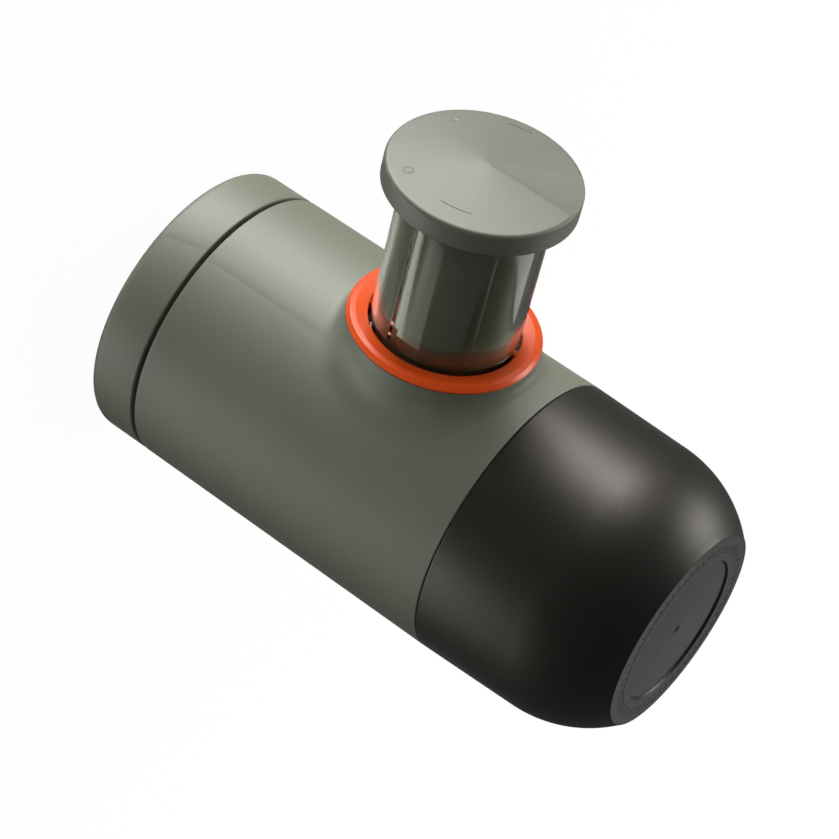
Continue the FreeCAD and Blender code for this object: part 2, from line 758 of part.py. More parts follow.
def pump_housing():
    """Moulded block: two decks joined by ribs, with the pump barrel between."""
    lay = {"rotation": ALONG_PUMP}
    saddle = "pump_level - cylinder_radius + 1"
    crown = "pump_level + cylinder_radius - 1"
    solids = joined("housing_solids", [
        cylinder("lower_deck_disc", "deck_radius", "lower_deck", "lower_deck_top"),
        cylinder("tank_skirt", "deck_radius", "skirt_end", "lower_deck"),
        cylinder("upper_deck_disc", "deck_radius", "upper_deck", "shoulder_level"),
        cylinder("group_collar", "collar_radius", "shoulder_level", "collar_top"),
        cylinder("barrel_tube", "barrel_radius", "barrel_end", "bush_seat", **lay),
        cylinder("barrel_mouth_tube", "barrel_mouth_radius", "barrel_mouth", "bush_seat", **lay),
        box("long_rib", ("barrel_end", "bush_seat"), ("-rib_thickness / 2", "rib_thickness / 2"),
            ("lower_deck", "upper_deck")),
        box("cross_rib", ("-rib_thickness / 2", "rib_thickness / 2"), ("-29", "29"),
            ("lower_deck", "upper_deck")),
        cylinder("inlet_port", "port_radius", "lower_deck", saddle, x="port_offset"),
        cylinder("outlet_port", "port_radius", crown, "upper_deck", x="port_offset"),
    ])
    tools = [
        cylinder("skirt_hollow", "skirt_inner", "skirt_end - 1", "lower_deck"),
        cylinder("barrel_bore", "barrel_inner", "barrel_end + barrel_wall", "bush_seat + 1", **lay),
        cylinder("bush_seat_bore", "bush_spigot + 0.05", "bush_end - 0.1", "bush_seat + 1", **lay),
        cylinder("cylinder_hole", "cylinder_radius + 0.03", "-30", "barrel_end + 5", **lay),
        cylinder("outlet_bore", "port_bore", "pump_level", "shoulder_level + 1", x="port_offset"),
        cylinder("outlet_seat", "valve_radius + 0.05", "upper_deck - 0.1",
                 "upper_deck + valve_length", x="port_offset"),
        cylinder("group_hollow", "collar_inner", "shoulder_level", "collar_top + 1"),
        case_screw_holes("housing_screw_holes", "shoulder_level - 6.5", "shoulder_level + 1"),
    ]
    whole = joined("housing_with_stubs", [
        less("housing_block", solids, tools),
        cylinder("inlet_stub", "port_radius", "stub_end", "lower_deck", x="port_offset"),
        cylinder("screen_post", "4", "shoulder_level - 1", "screen_level"),
    ])
    return less("pump_housing", whole, [
        cylinder("inlet_bore", "port_bore", "stub_end - 1", "pump_level", x="port_offset"),
        cylinder("inlet_seat", "valve_radius + 0.05", "lower_deck",
                 "lower_deck + valve_length + 0.1", x="port_offset"),
        cylinder("screen_screw_hole", "1.55", "shoulder_level - 1", "screen_level + 1"),
    ])


def valve(label, start):
    """Duckbill valve: a flanged tube that narrows to its lips, upwards."""
    piece = turned(label, [
        ("0.6", start),
        ("valve_radius", start),
        ("valve_radius", f"{start} + 0.9"),
        ("1.4", f"{start} + 0.9"),
        ("0.9", f"{start} + valve_length - 0.2"),
        ("0.25", f"{start} + valve_length - 0.2"),
    ])
    piece.setExpression(".Placement.Base.x", bound("port_offset"))
    return piece


def suction_strainer():
    strainer = turned("suction_strainer", [
        ("0", "stub_end - 5"),
        ("port_radius + 0.6", "stub_end - 5", "0.5"),
        ("port_radius + 0.6", "stub_end + 2"),
        ("port_radius + 0.05", "stub_end + 2"),
        ("port_radius + 0.05", "stub_end - 4.2"),
        ("0", "stub_end - 4.2"),
    ])
    doc.recompute()
    slot = extrude(
        strainer, "Pocket", "strainer_slot", "stub_end - 4", "3",
        lambda sketch: block(sketch, "port_radius - 0.5", "port_radius + 1.5", "1"),
    )
    around(strainer, "strainer_slots", slot, "8")
    strainer.setExpression(".Placement.Base.x", bound("port_offset"))
    return strainer


# ---- brew group -------------------------------------------------------------

def shower_screen():
    return turned("shower_screen", [
        ("1.7", "screen_level"),
        ("collar_inner - 0.3", "screen_level"),
        ("collar_inner - 0.3", "screen_level + sheet_thickness"),
        ("1.7", "screen_level + sheet_thickness"),
    ])


def screen_screw():
    return turned("screen_screw", [
        ("0", "shoulder_level + 0.5"),
        ("1.5", "shoulder_level + 0.5"),
        ("1.5", "screen_level + sheet_thickness"),
        ("3.4", "screen_level + sheet_thickness"),
        ("3.4", "screen_level + sheet_thickness + 1.4", "0.6"),
        ("0", "screen_level + sheet_thickness + 1.4"),
    ])


def basket_gasket():
    return turned("basket_gasket", [
        ("collar_inner + 0.1", "collar_top"),
        ("collar_radius - 0.1", "collar_top"),
        ("collar_radius - 0.1", "collar_top + gasket_height"),
        ("collar_inner + 0.1", "collar_top + gasket_height"),
    ])


def filter_basket():
    rim = "collar_top + gasket_height"
    return turned("filter_basket", [
        ("basket_inner", rim),
        ("basket_rim", rim),
        ("basket_rim", "outlet_shoulder"),
        ("basket_radius", "outlet_shoulder"),
        ("basket_radius", "basket_floor + sheet_thickness", "1.6"),
        ("0", "basket_floor + sheet_thickness"),
        ("0", "basket_floor"),
        ("basket_inner", "basket_floor", "1"),
    ])


def outlet_filter():
    return turned("outlet_filter", [
        ("0", "outlet_floor"),
        ("basket_radius - 0.2", "outlet_floor"),
        ("basket_radius - 0.2", "outlet_floor + 0.5"),
        ("0", "outlet_floor + 0.5"),
    ])


def outlet_head():
    return turned("outlet_head", [
        ("outlet_thread_inner", "outlet_start"),
        ("outlet_radius", "outlet_start", "0.5"),
        ("outlet_radius", "outlet_floor + 2.6", "5"),
        ("nozzle_radius + 5", "nozzle_end - 3.2", "3"),
        ("nozzle_radius + 2", "nozzle_end - 1.5", "0.6"),
        ("nozzle_radius", "nozzle_end - 1.5"),
        ("nozzle_radius", "outlet_floor + 3.8"),
        ("2.5", "outlet_floor + 3.8"),
        ("2.5", "outlet_floor + 2.9"),
        ("basket_radius - 2.6", "outlet_floor + 0.5"),
        ("basket_radius", "outlet_floor + 0.5"),
        ("basket_radius + 0.2", "outlet_shoulder"),
        ("outlet_thread_inner", "outlet_shoulder"),
    ])


def nozzle():
    return turned("nozzle", [
        ("1.2", "outlet_floor + 3.9"),
        ("nozzle_radius - 0.1", "outlet_floor + 3.9"),
        ("nozzle_radius - 0.1", "nozzle_end - 1.5"),
        ("nozzle_radius - 1.5", "nozzle_end", "0.8"),
        ("2.6", "nozzle_end"),
        ("1.2", "nozzle_end - 2"),
    ])


def build():
    """Make every piece and return the objects that are written out."""
    return [
        tank_base_cover(), water_tank(), tank_seal(),
        body_shell(), case_screws(), collar_ring(), guide_bush(),
        cup(),
        knob(), piston_core(), guide_band(), piston_sleeve(),
        piston_rod(), piston_head(), piston_seal(), head_screw(), rod_clip(), return_spring(),
        pump_cylinder(), cylinder_cap(), cylinder_plug(),
        seal_ring("plug_seal", "bore_radius - 0.8", "0.68", "cylinder_end + 1.1"),
        pump_housing(), valve("inlet_valve", "lower_deck"), valve("outlet_valve", "upper_deck"),
        suction_strainer(),
        shower_screen(), screen_screw(), basket_gasket(), filter_basket(),
        outlet_filter(), outlet_head(), nozzle(),
    ]


def check(pieces):
    failed = [o.Label for o in doc.Objects if {"Invalid", "Error"} & set(o.State)]
    failed += [p.Label for p in pieces if p.Shape.isNull() or not p.Shape.isValid()]
    if failed:
        raise RuntimeError("these objects failed: " + ", ".join(failed))


def write(pieces):
    os.makedirs("parts", exist_ok=True)
    for piece in pieces:
        piece.Shape.exportStep(os.path.join("parts", piece.Label + ".step"))
        print(f"{piece.Label:18s} {len(piece.Shape.Solids)} solid, {piece.Shape.Volume:9.1f} mm3")


fill_sheet()
pieces = build()
doc.recompute()
check(pieces)
write(pieces)
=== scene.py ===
import json
import math
import bmesh
import bpy
import numpy as np
from mathutils import Matrix, Vector


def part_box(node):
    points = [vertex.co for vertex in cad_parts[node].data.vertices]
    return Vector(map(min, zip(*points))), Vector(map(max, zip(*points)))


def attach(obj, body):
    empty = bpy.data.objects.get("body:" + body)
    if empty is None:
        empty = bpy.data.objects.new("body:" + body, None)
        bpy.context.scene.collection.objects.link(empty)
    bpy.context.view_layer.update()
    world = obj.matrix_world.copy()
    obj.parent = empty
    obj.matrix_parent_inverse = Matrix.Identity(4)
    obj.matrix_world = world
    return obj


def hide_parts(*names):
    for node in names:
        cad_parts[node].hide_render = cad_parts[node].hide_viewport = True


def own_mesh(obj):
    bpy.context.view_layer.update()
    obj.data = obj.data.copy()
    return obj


# Handheld espresso maker, standing on its water tank: +Z runs to the cup, +X out along the piston.
# Lengths in the dictionaries are millimetres, angles are degrees.

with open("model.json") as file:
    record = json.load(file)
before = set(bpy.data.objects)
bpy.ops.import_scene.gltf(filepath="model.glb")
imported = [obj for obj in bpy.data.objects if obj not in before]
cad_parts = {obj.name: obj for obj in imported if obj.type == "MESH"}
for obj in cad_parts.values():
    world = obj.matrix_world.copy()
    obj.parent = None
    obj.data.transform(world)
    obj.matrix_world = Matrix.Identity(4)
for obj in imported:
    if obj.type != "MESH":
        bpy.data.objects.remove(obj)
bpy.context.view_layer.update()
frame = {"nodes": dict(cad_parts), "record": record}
scene = bpy.context.scene
mm = 0.001
weldGap = 0.0001


class Sizes(dict):
    # a dictionary whose entries are also read by name, as in cup.wall
    __getattr__ = dict.__getitem__


def span(node, axis):
    # lowest and highest value of a CAD node along one axis, in millimetres
    low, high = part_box(node)
    return low[axis] / mm, high[axis] / mm


pumpLevel = sum(span("knob", 2)) / 2
totalLength = span("cup", 2)[1]
cupJoint = span("cup", 2)[0] - 0.1
print("frame loaded, pump axis at", round(pumpLevel, 2), "mm")


# Meshes

def rounded(corners, steps=6):
    # points of a section whose corners are (across, along) or (across, along, rounding radius)
    points = []
    for i, corner in enumerate(corners):
        here = np.array(corner[:2], float)
        if len(corner) < 3:
            points.append(here)
            continue
        back = np.array(corners[i - 1][:2]) - here
        ahead = np.array(corners[(i + 1) % len(corners)][:2]) - here
        back, ahead = back / np.linalg.norm(back), ahead / np.linalg.norm(ahead)
        half = math.acos(np.clip(back @ ahead, -1, 1)) / 2
        cut = corner[2] / math.tan(half)
        middle = (back + ahead) / np.linalg.norm(back + ahead)
        centre = here + middle * corner[2] / math.sin(half)
        start, end = here + back * cut - centre, here + ahead * cut - centre
        first = math.atan2(start[1], start[0])
        sweep = (math.atan2(end[1], end[0]) - first + math.pi) % (2 * math.pi) - math.pi
        for k in range(steps + 1):
            angle = first + sweep * k / steps
            points.append(centre + corner[2] * np.array((math.cos(angle), math.sin(angle))))
    return points


def arcBetween(start, end, radius, steps=16):
    # points of the shorter arc, bulging to the right of the way from start to end
    start, end = np.array(start, float), np.array(end, float)
    chord = end - start
    reach = math.sqrt(radius ** 2 - chord @ chord / 4)
    centre = (start + end) / 2 - reach * np.array((chord[1], -chord[0])) / np.linalg.norm(chord)
    first = math.atan2(*(start - centre)[::-1])
    last = math.atan2(*(end - centre)[::-1])
    sweep = (last - first + math.pi) % (2 * math.pi) - math.pi
    angles = first + sweep * np.linspace(0, 1, steps + 1)
    return [centre + radius * np.array((math.cos(a), math.sin(a))) for a in angles]


def ringGrid(rings, closed=True):
    # vertices and faces of a tube through rings of equal length; closed joins the last to the first
    count = len(rings[0])
    vertices = np.concatenate([np.asarray(ring, float) for ring in rings])
    faces = []
    for i in range(len(rings) if closed else len(rings) - 1):
        here, after = i * count, (i + 1) % len(rings) * count
        for k in range(count):
            following = (k + 1) % count
            faces.append((here + k, here + following, after + following, after + k))
    return vertices, faces


def fullTurn(steps):
    return np.linspace(0, 2 * math.pi, steps, endpoint=False)


def lathe(section, segments=192):
    # turns a closed section of (radius, height) about Z; a radius may differ by segment
    angles = fullTurn(segments)
    cosines, sines = np.cos(angles), np.sin(angles)
    rings = [np.stack((r * cosines, r * sines, np.full(segments, h)), 1) for r, h in section]
    return ringGrid(rings)


def onPump(reach, angle, level):
    # the point at a distance and an angle round the pump axis
    return (level, reach * math.sin(angle), pumpLevel + reach * math.cos(angle))


def roundPump(section, angles):
    # a ring round the pump axis for each (reach, level)
    return [[onPump(reach, angle, level) for angle in angles] for reach, level in section]


def laidDown(vertices, faces):
    # from upright to the pump axis: height becomes +X
    x, y, z = np.asarray(vertices, float).T
    return np.stack((z, y, pumpLevel - x), 1), faces


def joinParts(*parts):
    vertices, faces, offset = [], [], 0
    for points, polygons in parts:
        vertices.append(np.asarray(points, float))
        faces += [tuple(i + offset for i in polygon) for polygon in polygons]
        offset += len(points)
    return np.concatenate(vertices), faces


def meshFrom(name, vertices, faces):
    mesh = bpy.data.meshes.new(name)
    mesh.from_pydata((np.asarray(vertices) * mm).tolist(), [], faces)
    return mesh


def addObject(name, mesh, sharp, place=None):
    # welds a mesh, moves it by place, turns its faces outwards and smooths edges flatter than sharp
    work = bmesh.new()
    work.from_mesh(mesh)
    bmesh.ops.remove_doubles(work, verts=work.verts, dist=weldGap * mm)
    if place is not None:
        work.transform(place)
    bmesh.ops.recalc_face_normals(work, faces=work.faces)
    work.to_mesh(mesh)
    work.free()
    mesh.shade_smooth()
    mesh.set_sharp_from_angle(angle=math.radians(sharp))
    piece = bpy.data.objects.new(name, mesh)
    scene.collection.objects.link(piece)
    return piece


def settle(piece, body, slot, *replaced):
    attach(piece, body)
    if replaced:
        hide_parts(*replaced)


def addPiece(name, shape, body, slot, *replaced, sharp=35, finish=None):
    # a piece from its vertices and faces, in the finish of its slot unless another is named
    piece = addObject(name, meshFrom(name, *shape), sharp)
    piece.data.materials.append(finishes[finish or slot])
    settle(piece, body, slot, *replaced)


# Materials

def linear(code):
    # sRGB hex to linear
    parts = [int(code[i:i + 2], 16) / 255 for i in (1, 3, 5)]
    return (*(p / 12.92 if p <= 0.04045 else ((p + 0.055) / 1.055) ** 2.4 for p in parts), 1.0)


maths = "ShaderNodeMath"
plus, minus, times, over, above, below, larger, smaller = ({"operation": name} for name in (
    "ADD", "SUBTRACT", "MULTIPLY", "DIVIDE", "GREATER_THAN", "LESS_THAN", "MAXIMUM", "MINIMUM"))


def addNode(tree, kind, settings=None, links=()):
    # settings go to properties or sockets by name; links are (input, source) or sources in input
    # order, where a source is a number, an output, or a node for its first output
    node = tree.nodes.new(kind)
    for name, value in (settings or {}).items():
        if isinstance(name, str) and hasattr(node, name):
            setattr(node, name, value)
        else:
            node.inputs[name].default_value = value
    for i, link in enumerate(links):
        name, source = link if isinstance(link, tuple) else (i, link)
        if isinstance(source, (int, float)):
            node.inputs[name].default_value = source
        else:
            output = source.outputs[0] if isinstance(source, bpy.types.Node) else source
            tree.links.new(output, node.inputs[name])
    return node


def newFinish(name, colour, **sockets):
    # a material with its Principled shader set; returns it, its tree, shader and coordinates
    finish = bpy.data.materials.new(name)
    finish.use_nodes = True
    tree = finish.node_tree
    shader = tree.nodes["Principled BSDF"]
    shader.inputs["Base Color"].default_value = linear(colour)
    for socket, value in sockets.items():
        shader.inputs[socket.replace("_", " ")].default_value = value
    place = addNode(tree, "ShaderNodeTexCoord").outputs["Object"]
    return finish, tree, shader, place


def mottle(tree, shader, place, colour, size, change):
    # slow change of tone over patches of the given size, as moulded plastic has
    patches = addNode(tree, "ShaderNodeTexNoise", {"Scale": 1 / (size * mm), "Detail": 2.0},
                      [("Vector", place)])
    low, high = ((*(c * f for c in linear(colour)[:3]), 1.0) for f in (1 - change, 1 + change))
    tone = addNode(tree, "ShaderNodeMix", {"data_type": "RGBA", 6: low, 7: high},
                   [patches.outputs["Fac"]])
    tree.links.new(tone.outputs[2], shader.inputs["Base Color"])


def paintedGlints(tree, shader, place, spacing, size, lift):
    # sparse bright dots painted into the colour as glints where the mould grain would catch the
    # light, drawn coarser than real to show
    cells = addNode(tree, "ShaderNodeTexVoronoi", {"Scale": 1 / (spacing * mm)},
                    [("Vector", place)])
    dot = addNode(tree, maths, below, [cells.outputs["Distance"], size / spacing])
    under = shader.inputs["Base Color"].links[0].from_socket
    lit = addNode(tree, "ShaderNodeVectorMath", {"operation": "SCALE", "Scale": lift}, [under])
    tone = addNode(tree, "ShaderNodeMix", {"data_type": "RGBA"}, [dot, (6, under), (7, lit)])
    tree.links.new(tone.outputs[2], shader.inputs["Base Color"])


def grain(tree, shader, place, size, depth, roughness=()):
    # eroded mould grain: bump, and a little play in the roughness
    pits = addNode(tree, "ShaderNodeTexNoise", {"Scale": 1 / (size * mm), "Detail": 3.0},
                   [("Vector", place)])
    bump = addNode(tree, "ShaderNodeBump", {"Distance": depth * mm, "Strength": 1.0},
                   [("Height", pits.outputs["Fac"])])
    tree.links.new(bump.outputs["Normal"], shader.inputs["Normal"])
    if roughness:
        play = addNode(tree, "ShaderNodeMapRange", {"To Min": roughness[0], "To Max": roughness[1]},
                       [pits.outputs["Fac"]])
        tree.links.new(play.outputs["Result"], shader.inputs["Roughness"])


def absPlastic(name, colour, roughness):
    # moulded ABS with spark-eroded grain: satin, soft highlights, with a faint sparkle of painted
    # glints
    finish, tree, shader, place = newFinish(name, colour, IOR=1.53)
    mottle(tree, shader, place, colour, size=9, change=0.02)
    # painted glints: sparse bright dots in the colour
    paintedGlints(tree, shader, place, spacing=1.2, size=0.1, lift=1.55)
    grain(tree, shader, place, size=0.3, depth=0.028, roughness=roughness)
    return finish


def polypropylene(name, colour, roughness):
    # moulded black polypropylene, finely eroded: a dull warm black with one broad highlight and
    # painted glints
    finish, tree, shader, place = newFinish(name, colour, IOR=1.49,
                                            Specular_Tint=(1.0, 0.95, 0.87, 1.0))
    mottle(tree, shader, place, colour, size=12, change=0.05)
    # painted glints: sparse bright dots in the colour
    paintedGlints(tree, shader, place, spacing=1.3, size=0.1, lift=3.0)
    grain(tree, shader, place, size=0.3, depth=0.028, roughness=roughness)
    return finish


def acetal(name, colour, roughness, gloss=0.5):
    # smooth mould acetal: even colour, tighter highlights
    finish, tree, shader, place = newFinish(name, colour, IOR=1.48, Specular_IOR_Level=gloss)
    mottle(tree, shader, place, colour, size=6, change=0.02)
    grain(tree, shader, place, size=0.6, depth=0.002, roughness=roughness)
    return finish


def smokedCopolyester():
    # clear copolyester with a smoke tint: a glossy skin over a wall that barely bends the view
    # the wall's IOR is under the real 1.57, at which its thin steps would go black
    finish, tree, shader, place = newFinish("smokedCopolyester", "#E4E7DF", IOR=1.2, Roughness=0.05,
                                            Transmission_Weight=1.0, Coat_Weight=1.0,
                                            Coat_IOR=1.54, Coat_Roughness=0.11)
    grain(tree, shader, place, size=2.5, depth=0.002)
    return finish


def siliconeRubber(name, colour):
    # pressed silicone: dull, with a soft sheen at its edges
    finish, tree, shader, place = newFinish(name, colour, IOR=1.41, Sheen_Weight=0.15)
    grain(tree, shader, place, size=0.4, depth=0.008, roughness=(0.55, 0.68))
    return finish


def stainless(name, streak):
    # stainless sheet and wire, with fine drawing lines turned about Z
    finish, tree, shader, place = newFinish(name, "#BDBCB8", Metallic=1.0)
    drawn = addNode(tree, "ShaderNodeMapping", {"Scale": (1.0, 1.0, streak)}, [("Vector", place)])
    grain(tree, shader, drawn.outputs["Vector"], size=0.5, depth=0.003, roughness=(0.22, 0.38))
    return finish


def glassFilledNylon(name, colour):
    # glass-filled nylon: dark, slightly fibrous skin, uneven satin
    finish, tree, shader, place = newFinish(name, colour, IOR=1.53)
    mottle(tree, shader, place, colour, size=4, change=0.12)
    grain(tree, shader, place, size=0.5, depth=0.012, roughness=(0.38, 0.58))
    return finish


finishes = {
    "shell_green": absPlastic("greenAbs", "#787D6B", (0.52, 0.62)),
    # the knob, a little darker and glossier than the shell
    "knob_green": absPlastic("greenAbsKnob", "#696E5E", (0.48, 0.58)),
    # the core's colour is lifted above its own, as painted light standing in for the lamp light
    # that the clear sleeve keeps from it
    "core_green": acetal("greenAcetal", "#949A85", (0.52, 0.6), 0.25),
    "cup_black": polypropylene("warmBlackPolypropylene", "#221F1B", (0.4, 0.49)),
    "accent_orange": acetal("orangeAcetal", "#FF5E20", (0.26, 0.31), 0.25),
    # olive, and brown to the eye where the orange ring lights it
    "band_brown": acetal("oliveBearingAcetal", "#80826E", (0.45, 0.52), 0.3),
    "bush_black": acetal("blackAcetal", "#151514", (0.32, 0.4)),
    "clear_smoke": smokedCopolyester(),
    "housing_black": glassFilledNylon("blackNylon", "#1B1B1A"),
    "steel": stainless("stainlessSteel", streak=6.0),
    "seal_rubber": siliconeRubber("blackSilicone", "#161616"),
}
for node in frame["record"]["subparts"]:
    mesh = frame["nodes"][node["node"]].data
    mesh.materials.clear()
    mesh.materials.append(finishes[node["material_slot"]])
print("materials made:", len(finishes))


# Water tank: end cover with its screw spigot

tankCover = {
    "radius": span("tank_base_cover", 0)[1], "footRound": 2.4, "recess": 0.6, "recessRadius": 23,
    "spigot": 31.05, "spigotHeight": 4.94, "spigotTop": span("tank_base_cover", 2)[1],
    "inner": 29.4, "floor": 3.0, "edge": 0.2, "lip": 0.4}


def makeTankCover(d):
    joint = d.spigotTop - d.spigotHeight
    section = rounded([
        (0, d.recess), (d.recessRadius, d.recess, d.edge),
        (d.recessRadius + d.recess, 0, d.edge), (d.radius, 0, d.footRound),
        (d.radius, joint, d.lip), (d.spigot, joint), (d.spigot, d.spigotTop, d.lip),
        (d.inner, d.spigotTop), (d.inner, d.floor), (0, d.floor)])
    addPiece("tankCover", lathe(section, 240), "tank", "shell_green", "tank_base_cover")


makeTankCover(Sizes(tankCover))


# Body shell: a barrel whose boss rises over a blend, tight on the ridges and wide on the flanks

shell = {
    "foot": span("body_shell", 2)[0], "footRadius": 33.88, "top": cupJoint - 0.1,
    "topRadius": span("body_shell", 1)[1], "inner": 31.4, "shoulder": 91, "shoulderTop": 93.4,
    "shoulderOpening": 26.4, "spigot": 31.75, "spigotInner": 29.8,
    "spigotTop": span("body_shell", 2)[1], "boss": 21.5, "bossTop": span("body_shell", 0)[1],
    "bore": 19.2, "relief": 19.9, "reliefEnd": 27.3, "widestBlend": 13.0, "bossWall": 0.35,
    "footRounds": (0.3, 0.45), "jointRound": 0.28, "spigotRounds": (0.5, 0.3), "boreRound": 0.2,
    "bossRound": 0.3,
    # the mesh: its columns, its rows, and the rays from the boss to a window cut round it
    "step": 1.5, "rowsBelow": (0.5, 4, 12), "rowsAbove": (0.6, 0.3), "windowRows": 56,
    "windowAngle": 61.5, "windowReach": 27.5, "spokeSteps": 12, "spokeBias": 1.25, "blendSteps": 15}


def outerRadius(d, height):
    share = (height - d.foot) / (d.top - d.foot)
    return d.footRadius + (d.topRadius - d.footRadius) * share


def depthOnBarrel(d, y, z, radius=None):
    radius = outerRadius(d, z) if radius is None else radius
    return np.sqrt(np.maximum(radius ** 2 - y ** 2, 0))


def blendRing(d, angle):
    # (distance from the pump axis, height) down the boss wall and round the blend, at one angle
    sine, cosine = math.sin(angle), math.cos(angle)

    def surface(reach):
        return float(depthOnBarrel(d, reach * sine, pumpLevel + reach * cosine))

    def rolling(radius):
        # height of the rolling circle's centre, and the barrel's slope at its foot
        near, far = d.boss, min(d.boss + radius, 0.998 * d.topRadius / max(abs(sine), 1e-6))
        for _ in range(40):
            foot = (near + far) / 2
            slope = (surface(foot + 0.01) - surface(foot - 0.01)) / 0.02
            lean = math.hypot(1, slope)
            if foot - radius * slope / lean > d.boss + radius:
                far = foot
            else:
                near = foot
        return surface(foot) + radius / lean, slope

    low, high = 0.3, d.widestBlend
    for _ in range(30):
        radius = (low + high) / 2
        if rolling(radius)[0] > d.bossTop - d.bossWall:
            high = radius
        else:
            low = radius
    level, slope = rolling(low)
    last = math.atan2(-1, slope)  # way from the centre to the foot, in (reach, height)
    turns = np.linspace(-math.pi, last, d.blendSteps)
    return [(d.boss + low + low * math.cos(t), level + low * math.sin(t)) for t in turns]


def makeShell(d):
    columns = np.radians(np.arange(0, 360, d.step))
    edgeAngle = math.radians(d.windowAngle)
    half = sum(min(a, 2 * math.pi - a) <= edgeAngle for a in columns) // 2
    order = list(range(-half, half + 1))  # window columns by signed index
    count = len(columns)
    windowRows = np.linspace(pumpLevel - d.windowReach, pumpLevel + d.windowReach, d.windowRows)
    rows = [*(d.foot + h for h in d.rowsBelow), *windowRows,
            *(d.top - h for h in d.rowsAbove)]
    first = len(d.rowsBelow)
    last = first + d.windowRows - 1
    edgeInner = math.asin(outerRadius(d, pumpLevel) * math.sin(edgeAngle) / d.inner)

    def innerAngle(angle):
        # same sideways place as the outer column within the window, evenly spread outside it
        signed = (angle + math.pi) % (2 * math.pi) - math.pi
        if abs(signed) <= edgeAngle + 1e-6:
            return math.asin(outerRadius(d, pumpLevel) * math.sin(signed) / d.inner)
        rest = (abs(signed) - edgeAngle) / (math.pi - edgeAngle)
        return math.copysign(edgeInner + rest * (math.pi - edgeInner), signed)

    innerColumns = np.array([innerAngle(a) for a in columns])
    vertices, faces = [], []

    def ring(radius, height, angles=columns):
        start = len(vertices)
        vertices.extend((radius * math.cos(a), radius * math.sin(a), height) for a in angles)
        return start

    gap = {i % count for i in order[:-1]}

    def bridge(starts, window=()):
        # joins each ring to the next, but for the gap's columns in the window's rows
        for row, (lower, upper) in enumerate(zip(starts, starts[1:])):
            for k in range(count):
                if row not in window or k not in gap:
                    after = (k + 1) % count
                    faces.append((lower + k, lower + after, upper + after, upper + k))

    outer = [ring(outerRadius(d, h), h) for h in rows]
    inner = [ring(d.inner, h, innerColumns) for h in rows[:last + 1]]
    bridge(outer, range(first, last))
    bridge(inner, range(first, last))

    # foot, cup joint, spigot and shoulder
    inRound, outRound = d.footRounds
    edge = rounded([(d.inner, rows[0]), (d.inner, d.foot, inRound),
                    (d.footRadius, d.foot, outRound), (d.footRadius, rows[1])], 5)[1:-1]
    bridge([inner[0], *[ring(r, h, innerColumns if r < d.inner + 0.5 else columns)
                        for r, h in edge if h < rows[0] - 0.01], outer[0]])
    outRound, inRound = d.spigotRounds
    crown = rounded([(d.topRadius, rows[-1]), (d.topRadius, d.top, d.jointRound),
                     (d.spigot, d.top), (d.spigot, d.spigotTop, outRound),
                     (d.spigotInner, d.spigotTop, inRound), (d.spigotInner, d.shoulderTop),
                     (d.shoulderOpening, d.shoulderTop), (d.shoulderOpening, d.shoulder),
                     (d.inner, d.shoulder)], 5)[1:]
    bridge([outer[-1], *[ring(r, h) for r, h in crown[:-1]], ring(*crown[-1], innerColumns),
            inner[-1]])

    # window edge, walked round once, as (column, row)
    walk = [(order[0], r) for r in range(first, last)] + [(c, last) for c in order[:-1]]
    walk += [(order[-1], r) for r in range(last, first, -1)] + [(c, first) for c in order[:0:-1]]

    def spokes(starts, radius, makeRim):
        # one ray from the boss to each vertex of the window's edge
        rays = []
        for column, row in walk:
            rim = starts[row] + column % count
            x, y, z = vertices[rim]
            angle = math.atan2(y, z - pumpLevel)
            ray = [onPump(r, angle, h) for r, h in makeRim(angle)]
            fromY, fromZ = ray[-1][1:]
            for share in np.linspace(0, 1, d.spokeSteps)[1:-1] ** d.spokeBias:
                py, pz = fromY + (y - fromY) * share, fromZ + (z - fromZ) * share
                ray.append((float(depthOnBarrel(d, py, pz, radius)), py, pz))
            start = len(vertices)
            vertices.extend(ray)
            rays.append([*range(start, start + len(ray)), rim])
        for here, after in zip(rays, rays[1:] + rays[:1]):
            for i in range(len(here) - 1):
                faces.append((here[i], after[i], after[i + 1], here[i + 1]))
        return rays

    def boreAndBlend(angle):
        inside = float(depthOnBarrel(d, d.relief * math.sin(angle), pumpLevel, d.inner))
        floor = max(d.reliefEnd, inside)
        blend = blendRing(d, angle)
        top = rounded([(d.bore, floor), (d.bore, d.bossTop, d.boreRound),
                       (d.boss, d.bossTop, d.bossRound), (d.boss, floor)], 4)[1:-1]
        return [(d.relief, floor), (d.bore, floor), *top, *blend]

    def innerRim(angle):
        height = float(depthOnBarrel(d, d.relief * math.sin(angle), pumpLevel, d.inner))
        return [(d.relief, height)]

    outerRays = spokes(outer, None, boreAndBlend)
    innerRays = spokes(inner, d.inner, innerRim)
    pairs = list(zip(outerRays, innerRays))
    for (outHere, inHere), (outAfter, inAfter) in zip(pairs, pairs[1:] + pairs[:1]):
        faces.append((inHere[0], inAfter[0], outAfter[0], outHere[0]))
    addPiece("bodyShell", (vertices, faces), "maker_body", "shell_green", "body_shell", sharp=40)


makeShell(Sizes(shell))
print("shell made")


# Cup: straight wall that draws in over a domed shoulder, with a recessed base and its moulding gate

